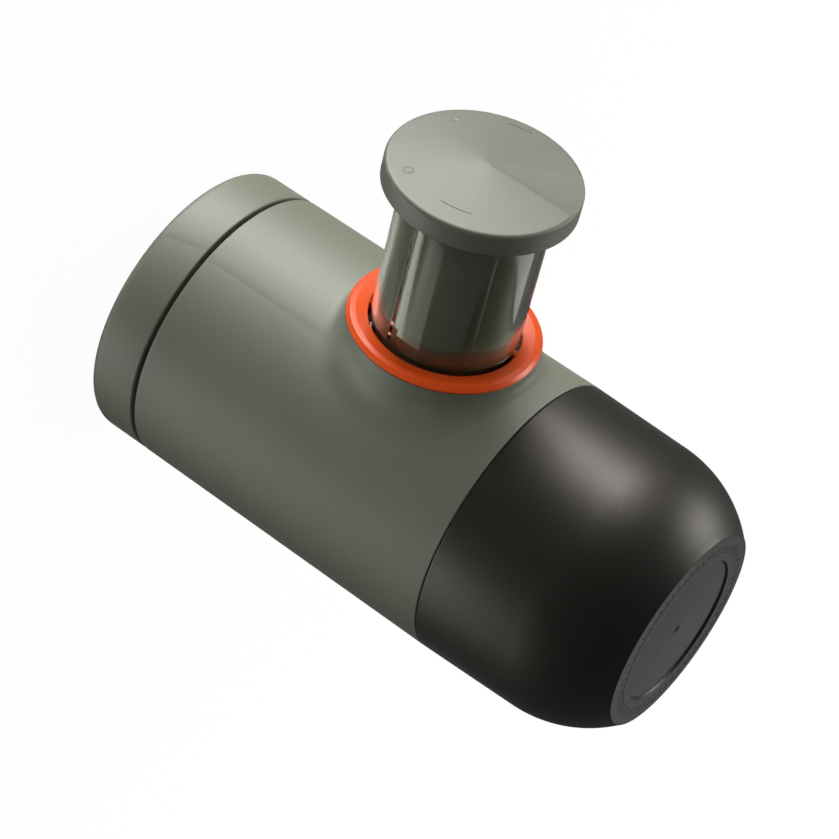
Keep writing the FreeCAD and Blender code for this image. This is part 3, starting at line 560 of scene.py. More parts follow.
cup = {
    "rim": cupJoint + 0.1, "rimRadius": span("cup", 1)[1], "rimRounds": (0.25, 0.28),
    "wallRadius": 33.57, "wall": 2.0, "inside": 32.05, "draft": 0.3, "draftEnd": 108.0,
    "seatEnd": 101.0, "domeStart": 118.8, "domeRadius": 29.6, "domeSink": 0.42, "domeOut": 0.25,
    "end": totalLength, "endRadius": 24.3, "endRound": 0.5, "endLean": (0.9, 1.4),
    "grooveOut": 22.0, "grooveIn": 19.8, "grooveDepth": 0.13, "grooveSlope": 0.2, "edge": 0.1,
    "recess": 0.6, "recessRadius": 17.4, "recessSlope": 0.35, "recessRounds": (0.15, 0.25),
    "gate": 1.1, "gateSlope": 0.5, "gateDepth": 0.35, "gateRounds": (0.2, 0.15),
    "pip": ((0.25, 0.4), (0.2, 0.1), (0, 0.05))}  # radius, and depth under the recess


def makeCup(d):
    end, sunk = d.end, d.end - d.recess
    outside = arcBetween((d.wallRadius, d.domeStart),
                         (d.endRadius + d.domeOut, end - d.domeSink), d.domeRadius, 40)
    floor = sunk - d.wall
    inside = arcBetween((d.wallRadius - d.wall, d.domeStart),
                        (d.endRadius - d.wall - d.endRound, floor),
                        d.domeRadius - d.wall, 24)
    inRound, outRound = d.rimRounds
    rim = rounded([(d.inside, d.domeStart), (d.inside, d.rim, inRound),
                   (d.rimRadius, d.rim, outRound), (d.wallRadius, d.domeStart)], 4)[1:-1]
    out, back = d.endLean
    grooveFloor = end - d.grooveDepth
    (edgeRound, floorRound), (mouthRound, footRound) = d.recessRounds, d.gateRounds
    base = rounded([
        (d.endRadius + out, end - back), (d.endRadius, end, d.endRound),
        (d.grooveOut, end, d.edge), (d.grooveOut - d.grooveSlope, grooveFloor, d.edge),
        (d.grooveIn + d.grooveSlope, grooveFloor, d.edge), (d.grooveIn, end, d.edge),
        (d.recessRadius + d.recessSlope, end, edgeRound), (d.recessRadius, sunk, floorRound),
        # the dimple of the moulding gate, with the pip that was broken off in it
        (d.gate, sunk, mouthRound), (d.gate - d.gateSlope, sunk - d.gateDepth, footRound),
        *((radius, sunk - depth) for radius, depth in d.pip)], 5)[1:]
    section = [*rim, *outside[:-1], *base, (0, floor), *inside[::-1],
               (d.inside - d.draft, d.draftEnd), (d.inside, d.seatEnd)]
    addPiece("cup", lathe(section, 240), "cup", "cup_black", "cup", sharp=30)


makeCup(Sizes(cup))


# Collar ring over the boss, with the six keys that guide the sleeve

collar = {
    "inner": 16.88, "neck": 19.1, "neckEnd": span("collar_ring", 0)[0], "seat": 36.5,
    "radius": span("collar_ring", 1)[1], "seatBevel": (0.25, 0.45), "seatRounds": (0.15, 0.3),
    "crest": span("collar_ring", 0)[1], "crestOuter": 20.8, "crestInner": 19.65, "crestFall": 0.1,
    "crestRounds": (0.4, 0.35), "innerTop": 37.6, "innerRound": 0.25, "keyTip": 15.83,
    "keyWidth": 1.85, "keyBottom": 35.1, "keyTop": 36.4, "turn": 19.5}


def bar(start, end, width, low, high, angle):
    # a box from radius start to end, turned about Z
    corners = [(r, side * width / 2, h) for h in (low, high) for r, side in
               ((start, -1), (end, -1), (end, 1), (start, 1))]
    c, s = math.cos(angle), math.sin(angle)
    points = [(x * c - y * s, x * s + y * c, z) for x, y, z in corners]
    return points, [(0, 3, 2, 1), (4, 5, 6, 7), *((k, (k + 1) % 4, (k + 1) % 4 + 4, k + 4)
                                                  for k in range(4))]


def makeCollar(d):
    (across, along), (lowRound, sideRound) = d.seatBevel, d.seatRounds
    outRound, inRound = d.crestRounds
    section = rounded([
        (d.inner, d.neckEnd), (d.neck, d.neckEnd), (d.neck, d.seat),
        (d.radius - across, d.seat, lowRound), (d.radius, d.seat + along, sideRound),
        (d.crestOuter, d.crest - d.crestFall, outRound), (d.crestInner, d.crest, inRound),
        (d.inner, d.innerTop, d.innerRound)], 8)
    keys = [bar(d.keyTip, d.inner + 0.3, d.keyWidth, d.keyBottom, d.keyTop,
                math.radians(180 + d.turn + 60 * k)) for k in range(6)]
    shape = laidDown(*joinParts(lathe(section, 240), *keys))
    addPiece("collarRing", shape, "maker_body", "accent_orange", "collar_ring", sharp=30)


makeCollar(Sizes(collar))


# Knob: a shallow cone with a faintly hollow pointer facet, two engraved dashes and two plain marks

knob = {
    "radius": 21.2, "bottom": span("knob", 0)[0], "edge": 79.2, "apex": span("knob", 0)[1],
    "round": 1.1, "lowRound": 0.25, "hollow": 19.3, "seat": 76.1, "hub": 12, "hubTop": 77.8,
    "crown": 2.2, "pointer": (-49.9, -6.4), "pointerSink": 0.02, "pointerScoop": 0.018,
    "dashes": ((18.0, -113, -93), (16.0, 64, 90)), "dashWidth": 0.32, "dashDepth": 0.1,
    "dot": (16.6, -150, 0.7), "circle": (16.6, 128, 1.0), "lineWidth": 0.22, "markDepth": 0.12,
    # rings: few to the marks, fine across them, finer over a dash, in dash widths
    "plainReaches": (19.0, 19.6), "innerReaches": (0.4, 14.8, 16),
    "markedReaches": (15.0, 18.5, 0.12), "dashReaches": (-0.62, -0.5, -0.25, 0, 0.25, 0.5, 0.62),
    "closest": 0.015}


def makeKnob(d):
    steep = (d.apex - d.edge) / d.radius
    section = rounded([(0, d.apex), (d.radius, d.edge, d.round),
                       (d.radius, d.bottom, d.lowRound), (d.hollow, d.bottom)], 12)[1:-1]
    grooves = [dash[0] + offset * d.dashWidth for dash in d.dashes for offset in d.dashReaches]
    reaches = sorted({*np.linspace(*d.innerReaches), *np.arange(*d.markedReaches), *grooves,
                      *d.plainReaches, section[0][0] - 0.02})
    reaches = [r for i, r in enumerate(reaches) if i == 0 or r - reaches[i - 1] > d.closest]
    start, end = (math.radians(a) for a in d.pointer)
    crease = 2e-4  # width of the facet's small step, in radians
    angles = sorted({*np.radians(np.arange(-180, 180, 1.0)), start, start + crease,
                     end - crease, end})
    middle, half = (start + end) / 2, (end - start) / 2
    facetFall = (d.apex - d.edge + d.pointerSink) / d.radius / math.cos(half)

    def height(reach, angle, top):
        if start + crease / 2 < angle < end - crease / 2:
            scoop = d.pointerScoop * reach * (1 - ((angle - middle) / half) ** 2)
            return min(top, d.apex - facetFall * reach * math.cos(angle - middle) - scoop)
        for ring, low, high in d.dashes:
            depth = 1 - (abs(reach - ring) / (d.dashWidth / 2)) ** 2
            if math.radians(low) < angle < math.radians(high) and depth > 0:
                top -= d.dashDepth * min(1, 1.6 * depth)
        for (ring, turn, size), hollow in ((d.dot, False), (d.circle, True)):
            away = math.hypot(reach * math.cos(angle) - ring * math.cos(math.radians(turn)),
                              reach * math.sin(angle) - ring * math.sin(math.radians(turn)))
            gap, width = (abs(away - size), d.lineWidth) if hollow else (away, size)
            if gap < width:
                top -= d.markDepth * min(1, 2 * (1 - gap / width))
        return top

    rings = roundPump([(0, d.apex)], angles)
    rings += [[onPump(r, a, height(r, a, d.apex - steep * r)) for a in angles] for r in reaches]
    rings += [[onPump(r, a, min(h, height(r, a, h))) for a in angles] for r, h in section]
    under = [(d.hollow, d.bottom), (d.hollow, d.seat), (d.hub, d.seat),
             (d.hub, d.hubTop), (0, d.apex - d.crown)]
    rings += roundPump(under, angles)
    addPiece("knob", ringGrid(rings), "knob_unit", "shell_green", "knob", sharp=20,
             finish="knob_green")


makeKnob(Sizes(knob))


# Piston core and guide band, seen through the sleeve

core = {
    "radius": 15.05, "inner": 13.4, "end": span("piston_core", 0)[0], "endRound": 0.3,
    "flange": 19.2, "flangeLow": knob["bottom"] + 0.35, "seat": knob["seat"] - 0.1, "hub": 9,
    "webLow": 70, "webTop": 73, "webRound": 1, "hole": 3.28, "bandInner": 13,
    "bandEnd": span("guide_band", 0)[0], "bandRound": 0.5}


def makeCore(d):
    tube = rounded([
        (d.inner, d.end), (d.radius, d.end, d.endRound), (d.radius, d.flangeLow),
        (d.flange, d.flangeLow), (d.flange, d.seat), (d.hub, d.seat),
        (d.hub, d.webTop), (d.hole, d.webTop), (d.hole, d.webLow),
        (d.inner, d.webLow, d.webRound)])
    band = rounded([(d.bandInner, d.bandEnd), (d.radius, d.bandEnd, d.bandRound),
                    (d.radius, d.end), (d.bandInner, d.end)])
    for name, section, slot, node in (("pistonCore", tube, "core_green", "piston_core"),
                                      ("guideBand", band, "band_brown", "guide_band")):
        addPiece(name, laidDown(*lathe(section)), "knob_unit", slot, node)


makeCore(Sizes(core))


# Clear sleeve: six panels with rounded lower corners between the key channels

sleeve = {
    "radius": span("piston_sleeve", 1)[1], "floor": 15.73, "inner": 15.1,
    "bottom": span("piston_sleeve", 0)[0], "top": span("piston_sleeve", 0)[1], "flangeTop": 34.8,
    "panelLow": 38.4, "panelTop": 70.2, "channels": 6, "channel": 1.9, "channelAngle": 40.5,
    "corner": 1.3, "topCorner": 0.35, "edge": 0.2, "footRound": 0.4, "flangeRound": 0.2,
    # columns beside a channel's middle: from, to, step; the last run goes on across the panel
    "columns": ((0, 0.9, 0.22), (0.92, 1.3, 0.045), (1.4, 1.9, 0.13)), "wideFrom": 2.1,
    "wideStep": 0.75,
    # rings up the panels: fine at both ends, few between
    "channelFoot": 36.5, "lowEnd": 40.7, "lowStep": 0.07, "between": (42, 69.4, 6),
    "topStart": 69.6, "topStep": 0.1, "channelHead": 72.5}


def makeSleeve(d):
    turn = 2 * math.pi / d.channels
    panelArc = d.radius * turn - d.channel
    runs = (*d.columns, (d.wideFrom, panelArc / 2 + 1, d.wideStep))
    nearby = np.concatenate([np.arange(*run) for run in runs])
    offsets = [s for s in sorted({*nearby, *(-nearby[1:])}) if abs(s / d.radius) < turn / 2 - 0.01]
    columns = [math.radians(d.channelAngle) + k * turn + s / d.radius
               for k in range(d.channels) for s in offsets]
    away = [abs(s) for s in offsets] * d.channels
    halfHeight, level = (d.panelTop - d.panelLow) / 2, (d.panelTop + d.panelLow) / 2

    def relief(side, height):
        # 0 in the channel and the grooves, 1 on the panel
        corner = d.corner if height < level else d.topCorner
        across = corner - (side - d.channel / 2)
        along = corner - (halfHeight - abs(height - level))
        outside = math.hypot(max(across, 0), max(along, 0)) + min(max(across, along), 0) - corner
        share = min(max(-outside / d.edge, 0), 1)
        return share * share * (3 - 2 * share)

    levels = [d.flangeTop + 0.05, d.channelFoot,
              *np.arange(d.panelLow - 0.1, d.lowEnd, d.lowStep), *np.linspace(*d.between),
              *np.arange(d.topStart, d.panelTop + 0.2, d.topStep), d.channelHead]
    foot = rounded([(d.inner, d.bottom), (d.radius, d.bottom, d.footRound),
                    (d.radius, d.flangeTop, d.flangeRound), (d.floor, d.flangeTop)],
                   4)[1:-1]
    low = [(d.inner, d.bottom), *foot, (d.floor, d.flangeTop)]
    high = [(d.floor, d.top), (d.inner, d.top),
            *((d.inner, h) for h in np.linspace(d.top - 4, d.bottom + 4, 8))]
    panels = [[onPump(d.floor + (d.radius - d.floor) * relief(s, h), a, h)
               for a, s in zip(columns, away)] for h in levels]
    rings = [*roundPump(low, columns), *panels, *roundPump(high, columns)]
    addPiece("sleeve", ringGrid(rings), "knob_unit", "clear_smoke", "piston_sleeve", sharp=40)


makeSleeve(Sizes(sleeve))
print("piston made")


# Node trees for what repeats or follows a path

def newTree(name, lengths, counts):
    tree = bpy.data.node_groups.new(name, "GeometryNodeTree")
    for kind, sizes in (("Geometry", ["Geometry"]), ("Float", lengths), ("Int", counts)):
        for size in sizes:
            tree.interface.new_socket(size, in_out="INPUT", socket_type="NodeSocket" + kind)
    tree.interface.new_socket("Geometry", in_out="OUTPUT", socket_type="NodeSocketGeometry")
    return tree, addNode(tree, "NodeGroupInput").outputs


def closeTree(tree, geometry, finish):
    real = addNode(tree, "GeometryNodeRealizeInstances", links=[geometry])
    coloured = addNode(tree, "GeometryNodeSetMaterial", {"Material": finish}, [real])
    addNode(tree, "NodeGroupOutput", links=[coloured])
    return tree


def polar(tree, radius, angle, height):
    # the point at a radius, an angle and a height about Z
    parts = []
    for operation in ("COSINE", "SINE"):
        share = addNode(tree, maths, {"operation": operation}, [angle])
        parts.append(addNode(tree, maths, times, [radius, share]))
    return addNode(tree, "ShaderNodeCombineXYZ", links=[*parts, height])


def evenTurns(tree, count):
    # for each of count copies, its angle and its turn about Z
    index = addNode(tree, "GeometryNodeInputIndex")
    step = addNode(tree, maths, over, [2 * math.pi, count])
    angle = addNode(tree, maths, times, [index, step])
    return angle, addNode(tree, "ShaderNodeCombineXYZ", links=[("Z", angle)])


def joined(tree, parts):
    both = addNode(tree, "GeometryNodeJoinGeometry")
    for part in parts:
        tree.links.new(part.outputs[0], both.inputs[0])
    return both


def grow(name, tree, sizes, place=None, source=None):
    # runs a tree and keeps what it makes as a plain mesh; sizes holds each of its inputs by name
    seed = bpy.data.objects.new(name + "Seed", source or bpy.data.meshes.new(name + "Seed"))
    scene.collection.objects.link(seed)
    modifier = seed.modifiers.new("tree", "NODES")
    modifier.node_group = tree
    for item in tree.interface.items_tree:
        if item.socket_type == "NodeSocketFloat":
            modifier[item.identifier] = float(sizes[item.name] * mm)
        elif item.socket_type == "NodeSocketInt":
            modifier[item.identifier] = int(sizes[item.name])
    graph = bpy.context.evaluated_depsgraph_get()
    grown = bpy.data.meshes.new_from_object(seed.evaluated_get(graph))
    seed.modifiers.remove(modifier)
    bpy.data.objects.remove(seed)
    return addObject(name, grown, 35, place)


def helixTree(finish, steps=420, sides=14):
    # a round rib along a helix, thinned at its ends by taper
    tree, size = newTree("helix", ("radius", "start", "rise", "wire", "lead", "closeRise", "taper"),
                         ["starts"])
    line = addNode(tree, "GeometryNodeCurvePrimitiveLine", {"End": (0, 0, 1)})
    fine = addNode(tree, "GeometryNodeResampleCurve", {"Count": steps}, [("Curve", line)])
    along = addNode(tree, "GeometryNodeSplineParameter").outputs["Factor"]
    turns = addNode(tree, maths, over, [size["rise"], size["lead"]])
    turned = addNode(tree, maths, times, [turns, along])
    angle = addNode(tree, maths, times, [turned, 2 * math.pi])
    # the height follows the lead, but the first and last turns lie flat where closeRise asks for it
    firstTurn = addNode(tree, maths, over, [1.0, turns])
    lastTurn = addNode(tree, maths, minus, [1.0, firstTurn])
    bodyRise = addNode(tree, maths, minus, [size["rise"], size["closeRise"]])
    body = addNode(tree, "ShaderNodeMapRange", links=[
        along, firstTurn, lastTurn, size["closeRise"], bodyRise])
    opening = addNode(tree, "ShaderNodeMapRange", links=[
        along, ("From Max", firstTurn), ("To Max", size["closeRise"])])
    closing = addNode(tree, "ShaderNodeMapRange", links=[
        along, ("From Min", lastTurn), ("To Max", size["closeRise"])])
    ends = addNode(tree, maths, plus, [opening, closing])
    middle = addNode(tree, maths, minus, [body, size["closeRise"]])
    closed = addNode(tree, maths, plus, [ends, middle])
    plain = addNode(tree, maths, times, [along, size["rise"]])
    lies = addNode(tree, maths, above, [size["closeRise"], 0.0])
    height = addNode(tree, "ShaderNodeMix", {"data_type": "FLOAT"}, [
        (0, lies), (2, plain), (3, closed)])
    level = addNode(tree, maths, plus, [size["start"], height])
    path = addNode(tree, "GeometryNodeSetPosition", links=[
        fine, ("Position", polar(tree, size["radius"], angle, level))])
    profile = addNode(tree, "GeometryNodeCurvePrimitiveCircle", {"Resolution": sides},
                      [("Radius", size["wire"])])
    # the rib thins over taper at each end
    left = addNode(tree, maths, minus, [1.0, along])
    near = addNode(tree, maths, smaller, [along, left])
    risen = addNode(tree, maths, times, [near, size["rise"]])
    reach = addNode(tree, maths, larger, [size["taper"], 1e-9])
    part = addNode(tree, maths, over, [risen, reach])
    thin = addNode(tree, maths, smaller, [1.0, part])
    root = addNode(tree, maths, {"operation": "SQRT"}, [thin])
    scale = addNode(tree, maths, larger, [root, 0.05])
    rib = addNode(tree, "GeometryNodeCurveToMesh", {"Fill Caps": True}, [
        ("Curve", path), ("Profile Curve", profile), ("Scale", scale)])
    starts = addNode(tree, "GeometryNodePoints", links=[size["starts"]])
    copies = addNode(tree, "GeometryNodeInstanceOnPoints", links=[
        ("Points", starts), ("Instance", rib),
        ("Rotation", evenTurns(tree, size["starts"])[1])])
    return closeTree(tree, copies, finish)


def sheetTree(finish, rimSides=128, boreSides=32):
    # a round sheet with staggered holes from holeStart to holeEnd, and a centre bore
    tree, size = newTree("sheet", ("radius", "bore", "hole", "spacing", "holeStart", "holeEnd",
                                   "level", "thickness"), ["across", "sides"])
    rowStep = addNode(tree, maths, times, [size["spacing"], math.sqrt(3) / 2])
    gaps = addNode(tree, maths, minus, [size["across"], 1])
    lattice = addNode(tree, "GeometryNodeMeshGrid", links=[
        addNode(tree, maths, times, [gaps, size["spacing"]]),
        addNode(tree, maths, times, [gaps, rowStep]), size["across"], size["across"]])
    odd = addNode(tree, "GeometryNodeInputIndex")
    for divisor in (size["across"], 2.0):
        odd = addNode(tree, maths, {"operation": "MODULO"}, [odd, divisor])
    step = addNode(tree, maths, times, [odd, size["spacing"]])
    shift = addNode(tree, "ShaderNodeCombineXYZ", links=[
        ("Y", addNode(tree, maths, times, [step, 0.5]))])
    staggered = addNode(tree, "GeometryNodeSetPosition", links=[
        lattice.outputs["Mesh"], ("Offset", shift)])
    place = addNode(tree, "GeometryNodeInputPosition")
    away = addNode(tree, "ShaderNodeVectorMath", {"operation": "LENGTH"}, [place]).outputs["Value"]
    inside = addNode(tree, maths, below, [away, size["holeEnd"]])
    outside = addNode(tree, maths, above, [away, size["holeStart"]])
    kept = addNode(tree, maths, times, [inside, outside])
    hole = addNode(tree, "GeometryNodeCurvePrimitiveCircle", links=[
        ("Radius", size["hole"]), ("Resolution", size["sides"])])
    holes = addNode(tree, "GeometryNodeInstanceOnPoints", links=[
        ("Points", staggered), ("Selection", kept), ("Instance", hole)])
    rim, bore = (addNode(tree, "GeometryNodeCurvePrimitiveCircle", {"Resolution": sides},
                         [("Radius", size[name])])
                 for name, sides in (("radius", rimSides), ("bore", boreSides)))
    real = addNode(tree, "GeometryNodeRealizeInstances", links=[joined(tree, (holes, rim, bore))])
    plate = addNode(tree, "GeometryNodeFillCurve", {"mode": "TRIANGLES"}, [("Curve", real)])
    thick = addNode(tree, "GeometryNodeExtrudeMesh", {"Individual": False, "Offset": (0, 0, 1)}, [
        ("Mesh", plate), ("Offset Scale", size["thickness"])])
    under = addNode(tree, "GeometryNodeFlipFaces", links=[plate])
    level = addNode(tree, "ShaderNodeCombineXYZ", links=[("Z", size["level"])])
    lifted = addNode(tree, "GeometryNodeTransform", links=[
        ("Geometry", joined(tree, (thick, under))), ("Translation", level)])
    return closeTree(tree, lifted, finish)


def ringTree(finish):
    # copies of the seed mesh, evenly round Z, each turned to face outwards
    tree, size = newTree("ring", ("radius", "level"), ["count"])
    points = addNode(tree, "GeometryNodePoints", links=[size["count"]])
    angle, turn = evenTurns(tree, size["count"])
    placed = addNode(tree, "GeometryNodeSetPosition", links=[
        points, ("Position", polar(tree, size["radius"], angle, size["level"]))])
    copies = addNode(tree, "GeometryNodeInstanceOnPoints", links=[
        ("Points", placed), ("Instance", size["Geometry"]), ("Rotation", turn)])
    return closeTree(tree, copies, finish)


pumpwards = Matrix.Translation((0, 0, pumpLevel * mm)) @ Matrix.Rotation(math.pi / 2, 4, "Y")


# Return spring: closed coils at both ends, open between

spring = {
    "start": span("return_spring", 0)[0], "end": span("return_spring", 0)[1], "radius": 8.0,
    "wire": 0.6, "turns": 7.2, "closeRise": 1.26, "taper": 0, "starts": 1, "solid": 0.195}


def makeSpring(d):
    rise = d.end - d.start - 2 * d.wire
    piece = grow("returnSpring", helixTree(finishes["steel"]), {
        **d, "start": d.start + d.wire, "rise": rise, "lead": rise / d.turns}, pumpwards)
    settle(piece, "maker_body", "steel", "return_spring")
    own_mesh(piece)


makeSpring(Sizes(spring))


# Threads of the tank's spigot and of the brew group's collar

threads = {
    "tankThread": {
        "body": "tank", "slot": "shell_green", "radius": 31.05, "start": 13.9, "end": 17.0},
    "groupThread": {
        "body": "maker_body", "slot": "housing_black", "radius": 23.2, "start": 94.4, "end": 99.2}}
threadForm = {"lead": 6.0, "starts": 3, "wire": 0.8, "proud": 0.28, "taper": 0.5, "closeRise": 0}


def makeThread(name, d, form):
    piece = grow(name, helixTree(finishes[d.slot]), {
        **form, "radius": d.radius + form.proud - form.wire, "start": d.start,
        "rise": d.end - d.start})
    settle(piece, d.body, d.slot)


for name, sizes in threads.items():
    makeThread(name, Sizes(sizes), Sizes(threadForm))


# Basket's drawn wall, and the perforated sheets of the brew group

basket = {
    "rim": span("filter_basket", 2)[0], "shoulder": 101.4, "floor": 115.6, "sheet": 0.6,
    "inner": 20.0, "outer": 20.6, "lip": span("filter_basket", 0)[1], "lipRound": 0.2,
    "mouthRound": 0.5, "neckRound": 0.3, "outerRound": 1.6, "innerRound": 1.0, "open": 18.3}
sheets = {
    "showerScreen": {
        "nodes": ["shower_screen"], "body": "maker_body", "levels": span("shower_screen", 2),
        "radius": span("shower_screen", 0)[1], "bore": 1.7, "hole": 0.45, "spacing": 2.3,
        "holeStart": 4.2, "holeEnd": 19.3, "sides": 12},
    "outletFilter": {
        "nodes": ["outlet_filter"], "body": "outlet", "levels": span("outlet_filter", 2),
        "radius": span("outlet_filter", 0)[1], "bore": 0.35, "hole": 0.35, "spacing": 1.55,
        "holeStart": 1.2, "holeEnd": 18.4, "sides": 8},
    "basketFloor": {
        "nodes": [], "body": "basket",
        "levels": (basket["floor"], basket["floor"] + basket["sheet"]), "radius": 18.6, "bore": 0.3,
        "hole": 0.3, "spacing": 1.5, "holeStart": 1.1, "holeEnd": 17.9, "sides": 8}}


def makeSheet(name, d):
    low, high = d.levels
    across = 2 * round(d.holeEnd / d.spacing) + 9  # enough holes to pass the sheet's edge
    piece = grow(name, sheetTree(finishes["steel"]), {
        **d, "level": low, "thickness": high - low, "across": across})
    settle(piece, d.body, "steel", *d.nodes)


def makeBasket(d):
    low, high = d.floor, d.floor + d.sheet
    section = rounded([
        (d.inner, d.rim, d.mouthRound), (d.lip, d.rim, d.lipRound),
        (d.lip, d.shoulder, d.lipRound), (d.outer, d.shoulder, d.neckRound),
        (d.outer, high, d.outerRound), (d.open, high), (d.open, low),
        (d.inner, low, d.innerRound)])
    addPiece("basketWall", lathe(section, 160), "basket", "steel", "filter_basket")


for name, sizes in sheets.items():
    makeSheet(name, Sizes(sizes))
makeBasket(Sizes(basket))


# Screws with a hexagon socket

screws = {
    "caseScrews": {"node": "case_screws", "radius": 28.1, "count": 4, "turn": 45, "seat": 93.4,
                   "head": 1.55, "shank": 0.88, "socket": 0.75},
    "screenScrew": {"node": "screen_screw", "radius": 0.0, "count": 1, "turn": 0, "seat": 97.8,
                    "head": 3.4, "shank": 1.45, "socket": 1.3}}
# shares of a screw's own sizes, but pointLength and mouthDepth are lengths; crown is (out, down)
screwForm = {
    "segments": 48, "point": 0.7, "pointLength": 0.5, "mouth": 1.1, "mouthDepth": 0.08,
    "crown": ((1, 0.35), (0.93, 0.14), (0.78, 0)), "socketDepth": 0.55, "socketCone": 1.2}


def screwShape(d, form, base, top):
    # from the tip up to the socket's floor, with the reach of its six flats at each segment
    segments, head, shank = form.segments, d.head, d.shank
    flats = d.socket / np.cos((fullTurn(segments) + math.pi / 6) % (math.pi / 3) - math.pi / 6)
    depth = (top - d.seat) * form.socketDepth
    return lathe([
        (0, base), (shank * form.point, base), (shank, base + form.pointLength),
        (shank, d.seat), (head, d.seat),
        *((head * out, top - head * down) for out, down in form.crown),
        (flats * form.mouth, top), (flats, top - form.mouthDepth), (flats, top - depth),
        (0, top - depth * form.socketCone)], segments)


def makeScrew(name, d, form):
    source = meshFrom(name, *screwShape(d, form, *span(d.node, 2)))
    piece = grow(name, ringTree(finishes["steel"]), {**d, "level": 0}, source=source)
    piece.data.transform(Matrix.Rotation(math.radians(d.turn), 4, "Z"))
    settle(piece, "maker_body", "steel", d.node)


for name, sizes in screws.items():
    makeScrew(name, Sizes(sizes), Sizes(screwForm))


# Finger ribs round the outlet head, and raised dashes in a shallow groove of the cup's base

outletRibs = {
    "count": 36, "radius": span("outlet_head", 0)[1] - 0.25, "low": 96.5, "high": 111.5,
    "width": 1.5, "proud": 0.75}
baseDashes = {"count": 60, "radius": 20.9, "length": 0.55, "width": 1.1, "height": 0.11}


def pillow(length, width, height, steps=10, sides=20, blunt=8, tip=0.0004):
    # a long rounded rib along Z standing out along X, its ends drawn in
    rings = []
    for k in range(steps + 1):
        along = -math.cos(math.pi * k / steps)
        scale = math.sqrt(max(1 - abs(along) ** blunt, tip))
        out, across = height * scale, width / 2 * scale
        rings.append([(out * math.cos(t), across * math.sin(t), along * length / 2)
                      for t in fullTurn(sides)])
    vertices, faces = ringGrid(rings, closed=False)
    last = steps * sides
    return vertices, [*faces, tuple(range(sides - 1, -1, -1)), tuple(range(last, last + sides))]


def makePillows(name, d, shape, level, body, slot):
    source = meshFrom(name, *shape)
    piece = grow(name, ringTree(finishes[slot]), {**d, "level": level}, source=source)
    settle(piece, body, slot)


def makeRibs(d):
    shape = pillow(d.high - d.low, d.width, d.proud)
    makePillows("outletRibs", d, shape, (d.low + d.high) / 2, "outlet", "housing_black")


def makeDashes(d):
    vertices, faces = pillow(d.width, d.length, d.height)
    upright = vertices[:, [2, 1, 0]]
    level = totalLength - 0.01 - d.height
    makePillows("baseDashes", d, (upright, faces), level, "cup", "cup_black")


makeRibs(Sizes(outletRibs))
makeDashes(Sizes(baseDashes))
print("repeated parts made")


# Floor, light and camera

floor = {
    "radius": 240, "sides": 96, "fadeFrom": 40, "whiteness": 0.97, "level": -0.05,
    "colour": "#F4F4F2", "roughness": 0.9, "shine": 0.1}


def inSight(tree):
    # 1 where the backdrop is seen directly or through the clear sleeve, 0 where it only sheds light
    rays = addNode(tree, "ShaderNodeLightPath")
    bounces = addNode(tree, maths, plus, [
        rays.outputs["Diffuse Depth"], rays.outputs["Glossy Depth"]])
    direct = addNode(tree, maths, below, [bounces, 0.5])
    through = addNode(tree, maths, times, [rays.outputs["Is Transmission Ray"], direct])
    return addNode(tree, maths, larger, [rays.outputs["Is Camera Ray"], through])


def makeFloor(d):
    corners = [(d.radius * math.cos(a), d.radius * math.sin(a), d.level)
               for a in fullTurn(d.sides)]
    mesh = meshFrom("floor", corners, [tuple(range(d.sides))])
    # matt white paper: white where it is seen, with the maker's shade left on it near the foot
    finish, tree, shader, place = newFinish("whitePaper", d.colour, Roughness=d.roughness,
                                            Specular_IOR_Level=d.shine)
    away = addNode(tree, "ShaderNodeVectorMath", {"operation": "LENGTH"}, [place])
    fade = addNode(tree, "ShaderNodeMapRange", {
        "From Min": d.fadeFrom * mm, "From Max": d.radius * mm, "To Min": d.whiteness},
        [away.outputs["Value"]])
    share = addNode(tree, maths, times, [inSight(tree), fade.outputs["Result"]])
    white = addNode(tree, "ShaderNodeEmission", {"Color": (1, 1, 1, 1), "Strength": 1.0})
    mixed = addNode(tree, "ShaderNodeMixShader", links=[share, shader, white])
    # seen from below, the paper lets the maker's foot show
    facing = addNode(tree, "ShaderNodeNewGeometry").outputs["Backfacing"]
    clear = addNode(tree, "ShaderNodeBsdfTransparent")
    sided = addNode(tree, "ShaderNodeMixShader", links=[facing, mixed, clear])
    tree.links.new(sided.outputs[0], tree.nodes["Material Output"].inputs["Surface"])
    mesh.materials.append(finish)
    disc = bpy.data.objects.new("floor", mesh)
    scene.collection.objects.link(disc)
    # low lamps shine past it, and gloss sees the room
    disc.visible_shadow = disc.visible_glossy = False


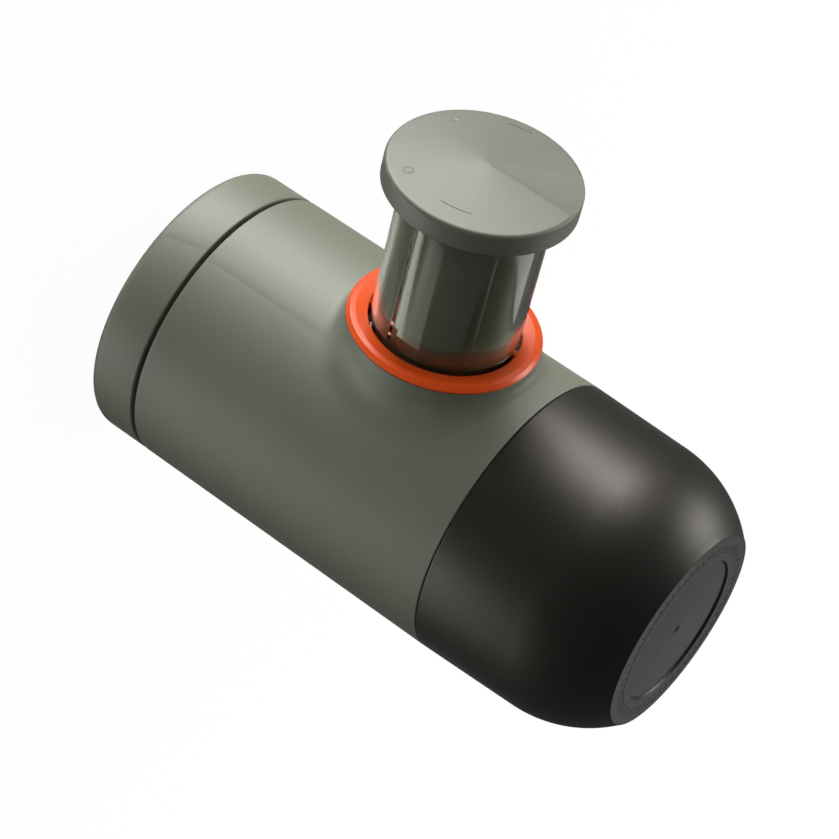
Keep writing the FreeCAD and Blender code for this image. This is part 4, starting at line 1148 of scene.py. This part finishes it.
studio = {
    "fill": 0.15, "target": 60,
    # gloss sees a dim room, because a white one would lift the black cup and the shell's lower edge
    "mirroredFill": 0.09,
    # whether diffuse, glossy and transmitted rays see the lamp, and its colour
    # the soft lamp behind is kept from showing through the clear sleeve
    "kinds": {"soft": (True, False, True, (1, 1, 1)), "gloss": (False, True, False, (1, 1, 1)),
              "backSoft": (True, False, False, (1, 1, 1)),
              "sleeveGloss": (False, True, False, (0.96, 1.0, 0.86))},
    # kind, azimuth, distance, height, size, power
    "lamps": {"keySoft": ("soft", -30, 700, -300, (300, 700), 6.0),
              "sideSoft": ("soft", 35, 700, -250, (300, 700), 1.7),
              "topSoft": ("soft", -90, 500, 560, (400, 400), 2.4),
              "keyGloss": ("gloss", -20, 700, -330, (430, 900), 15.6),
              "rimGloss": ("gloss", 116, 700, -580, (140, 600), 3.8),
              "sleeveGloss": ("sleeveGloss", 139, 700, -377, (215, 290), 0.62),
              "sleeveFade": ("sleeveGloss", 131, 700, -76, (200, 275), 0.15),
              "domeGloss": ("gloss", -62, 600, 510, (300, 300), 2.8),
              "backHigh": ("gloss", -140, 500, 560, (400, 400), 0.6),
              "backCard": ("gloss", -135, 700, -190, (700, 250), 0.12),
              "backSoft": ("backSoft", -135, 700, 60, (500, 600), 6.0)}}


def makeStudio(d):
    world = bpy.data.worlds.new("studio")
    scene.world = world
    world.use_nodes = True
    tree = world.node_tree
    tree.nodes.clear()
    rays = addNode(tree, "ShaderNodeLightPath")
    room = addNode(tree, "ShaderNodeMix", {"data_type": "FLOAT", 2: d.fill, 3: d.mirroredFill},
                   [rays.outputs["Is Glossy Ray"]])
    level = addNode(tree, "ShaderNodeMix", {"data_type": "FLOAT", 3: 1.0}, [
        inSight(tree), (2, room)])
    light = addNode(tree, "ShaderNodeBackground", {"Color": (1, 1, 1, 1)}, [("Strength", level)])
    addNode(tree, "ShaderNodeOutputWorld", links=[light])
    for name, (kind, azimuth, distance, height, size, power) in d.lamps.items():
        lamp = bpy.data.lights.new(name, "AREA")
        lamp.shape = "RECTANGLE"
        lamp.size, lamp.size_y = (s * mm for s in size)
        lamp.energy = power
        angle = math.radians(azimuth)
        place = Vector((math.cos(angle) * distance, math.sin(angle) * distance, height))
        holder = bpy.data.objects.new(name, lamp)
        (holder.visible_diffuse, holder.visible_glossy, holder.visible_transmission,
         lamp.color) = d.kinds[kind]
        holder.rotation_mode = "QUATERNION"
        holder.rotation_quaternion = (Vector((0, 0, d.target)) - place).to_track_quat("-Z", "Y")
        holder.location = place * mm
        scene.collection.objects.link(holder)


makeFloor(Sizes(floor))
makeStudio(Sizes(studio))

# the view is rolled, so that the maker seems to lie aslant
view = {
    "place": (445.13, 441.29, 298.04), "right": (0.19322, -0.59927, 0.77688),
    "down": (-0.72744, 0.44384, 0.52330), "ahead": (-0.65840, -0.66625, -0.35017), "lens": 128.66,
    "sensor": 36.0, "clip": (0.05, 10)}


def makeCamera(d):
    camera = bpy.data.cameras.new("camera")
    camera.lens, camera.sensor_width = d.lens, d.sensor
    camera.clip_start, camera.clip_end = d.clip
    holder = bpy.data.objects.new("camera", camera)
    columns = (np.array(d.right), -np.array(d.down), -np.array(d.ahead),
               np.array(d.place) * mm)
    holder.matrix_world = Matrix(np.column_stack(columns).tolist() + [[0, 0, 0, 1]])
    scene.collection.objects.link(holder)
    scene.camera = holder


makeCamera(Sizes(view))
scene.view_settings.view_transform = "Standard"

print("all pieces placed")
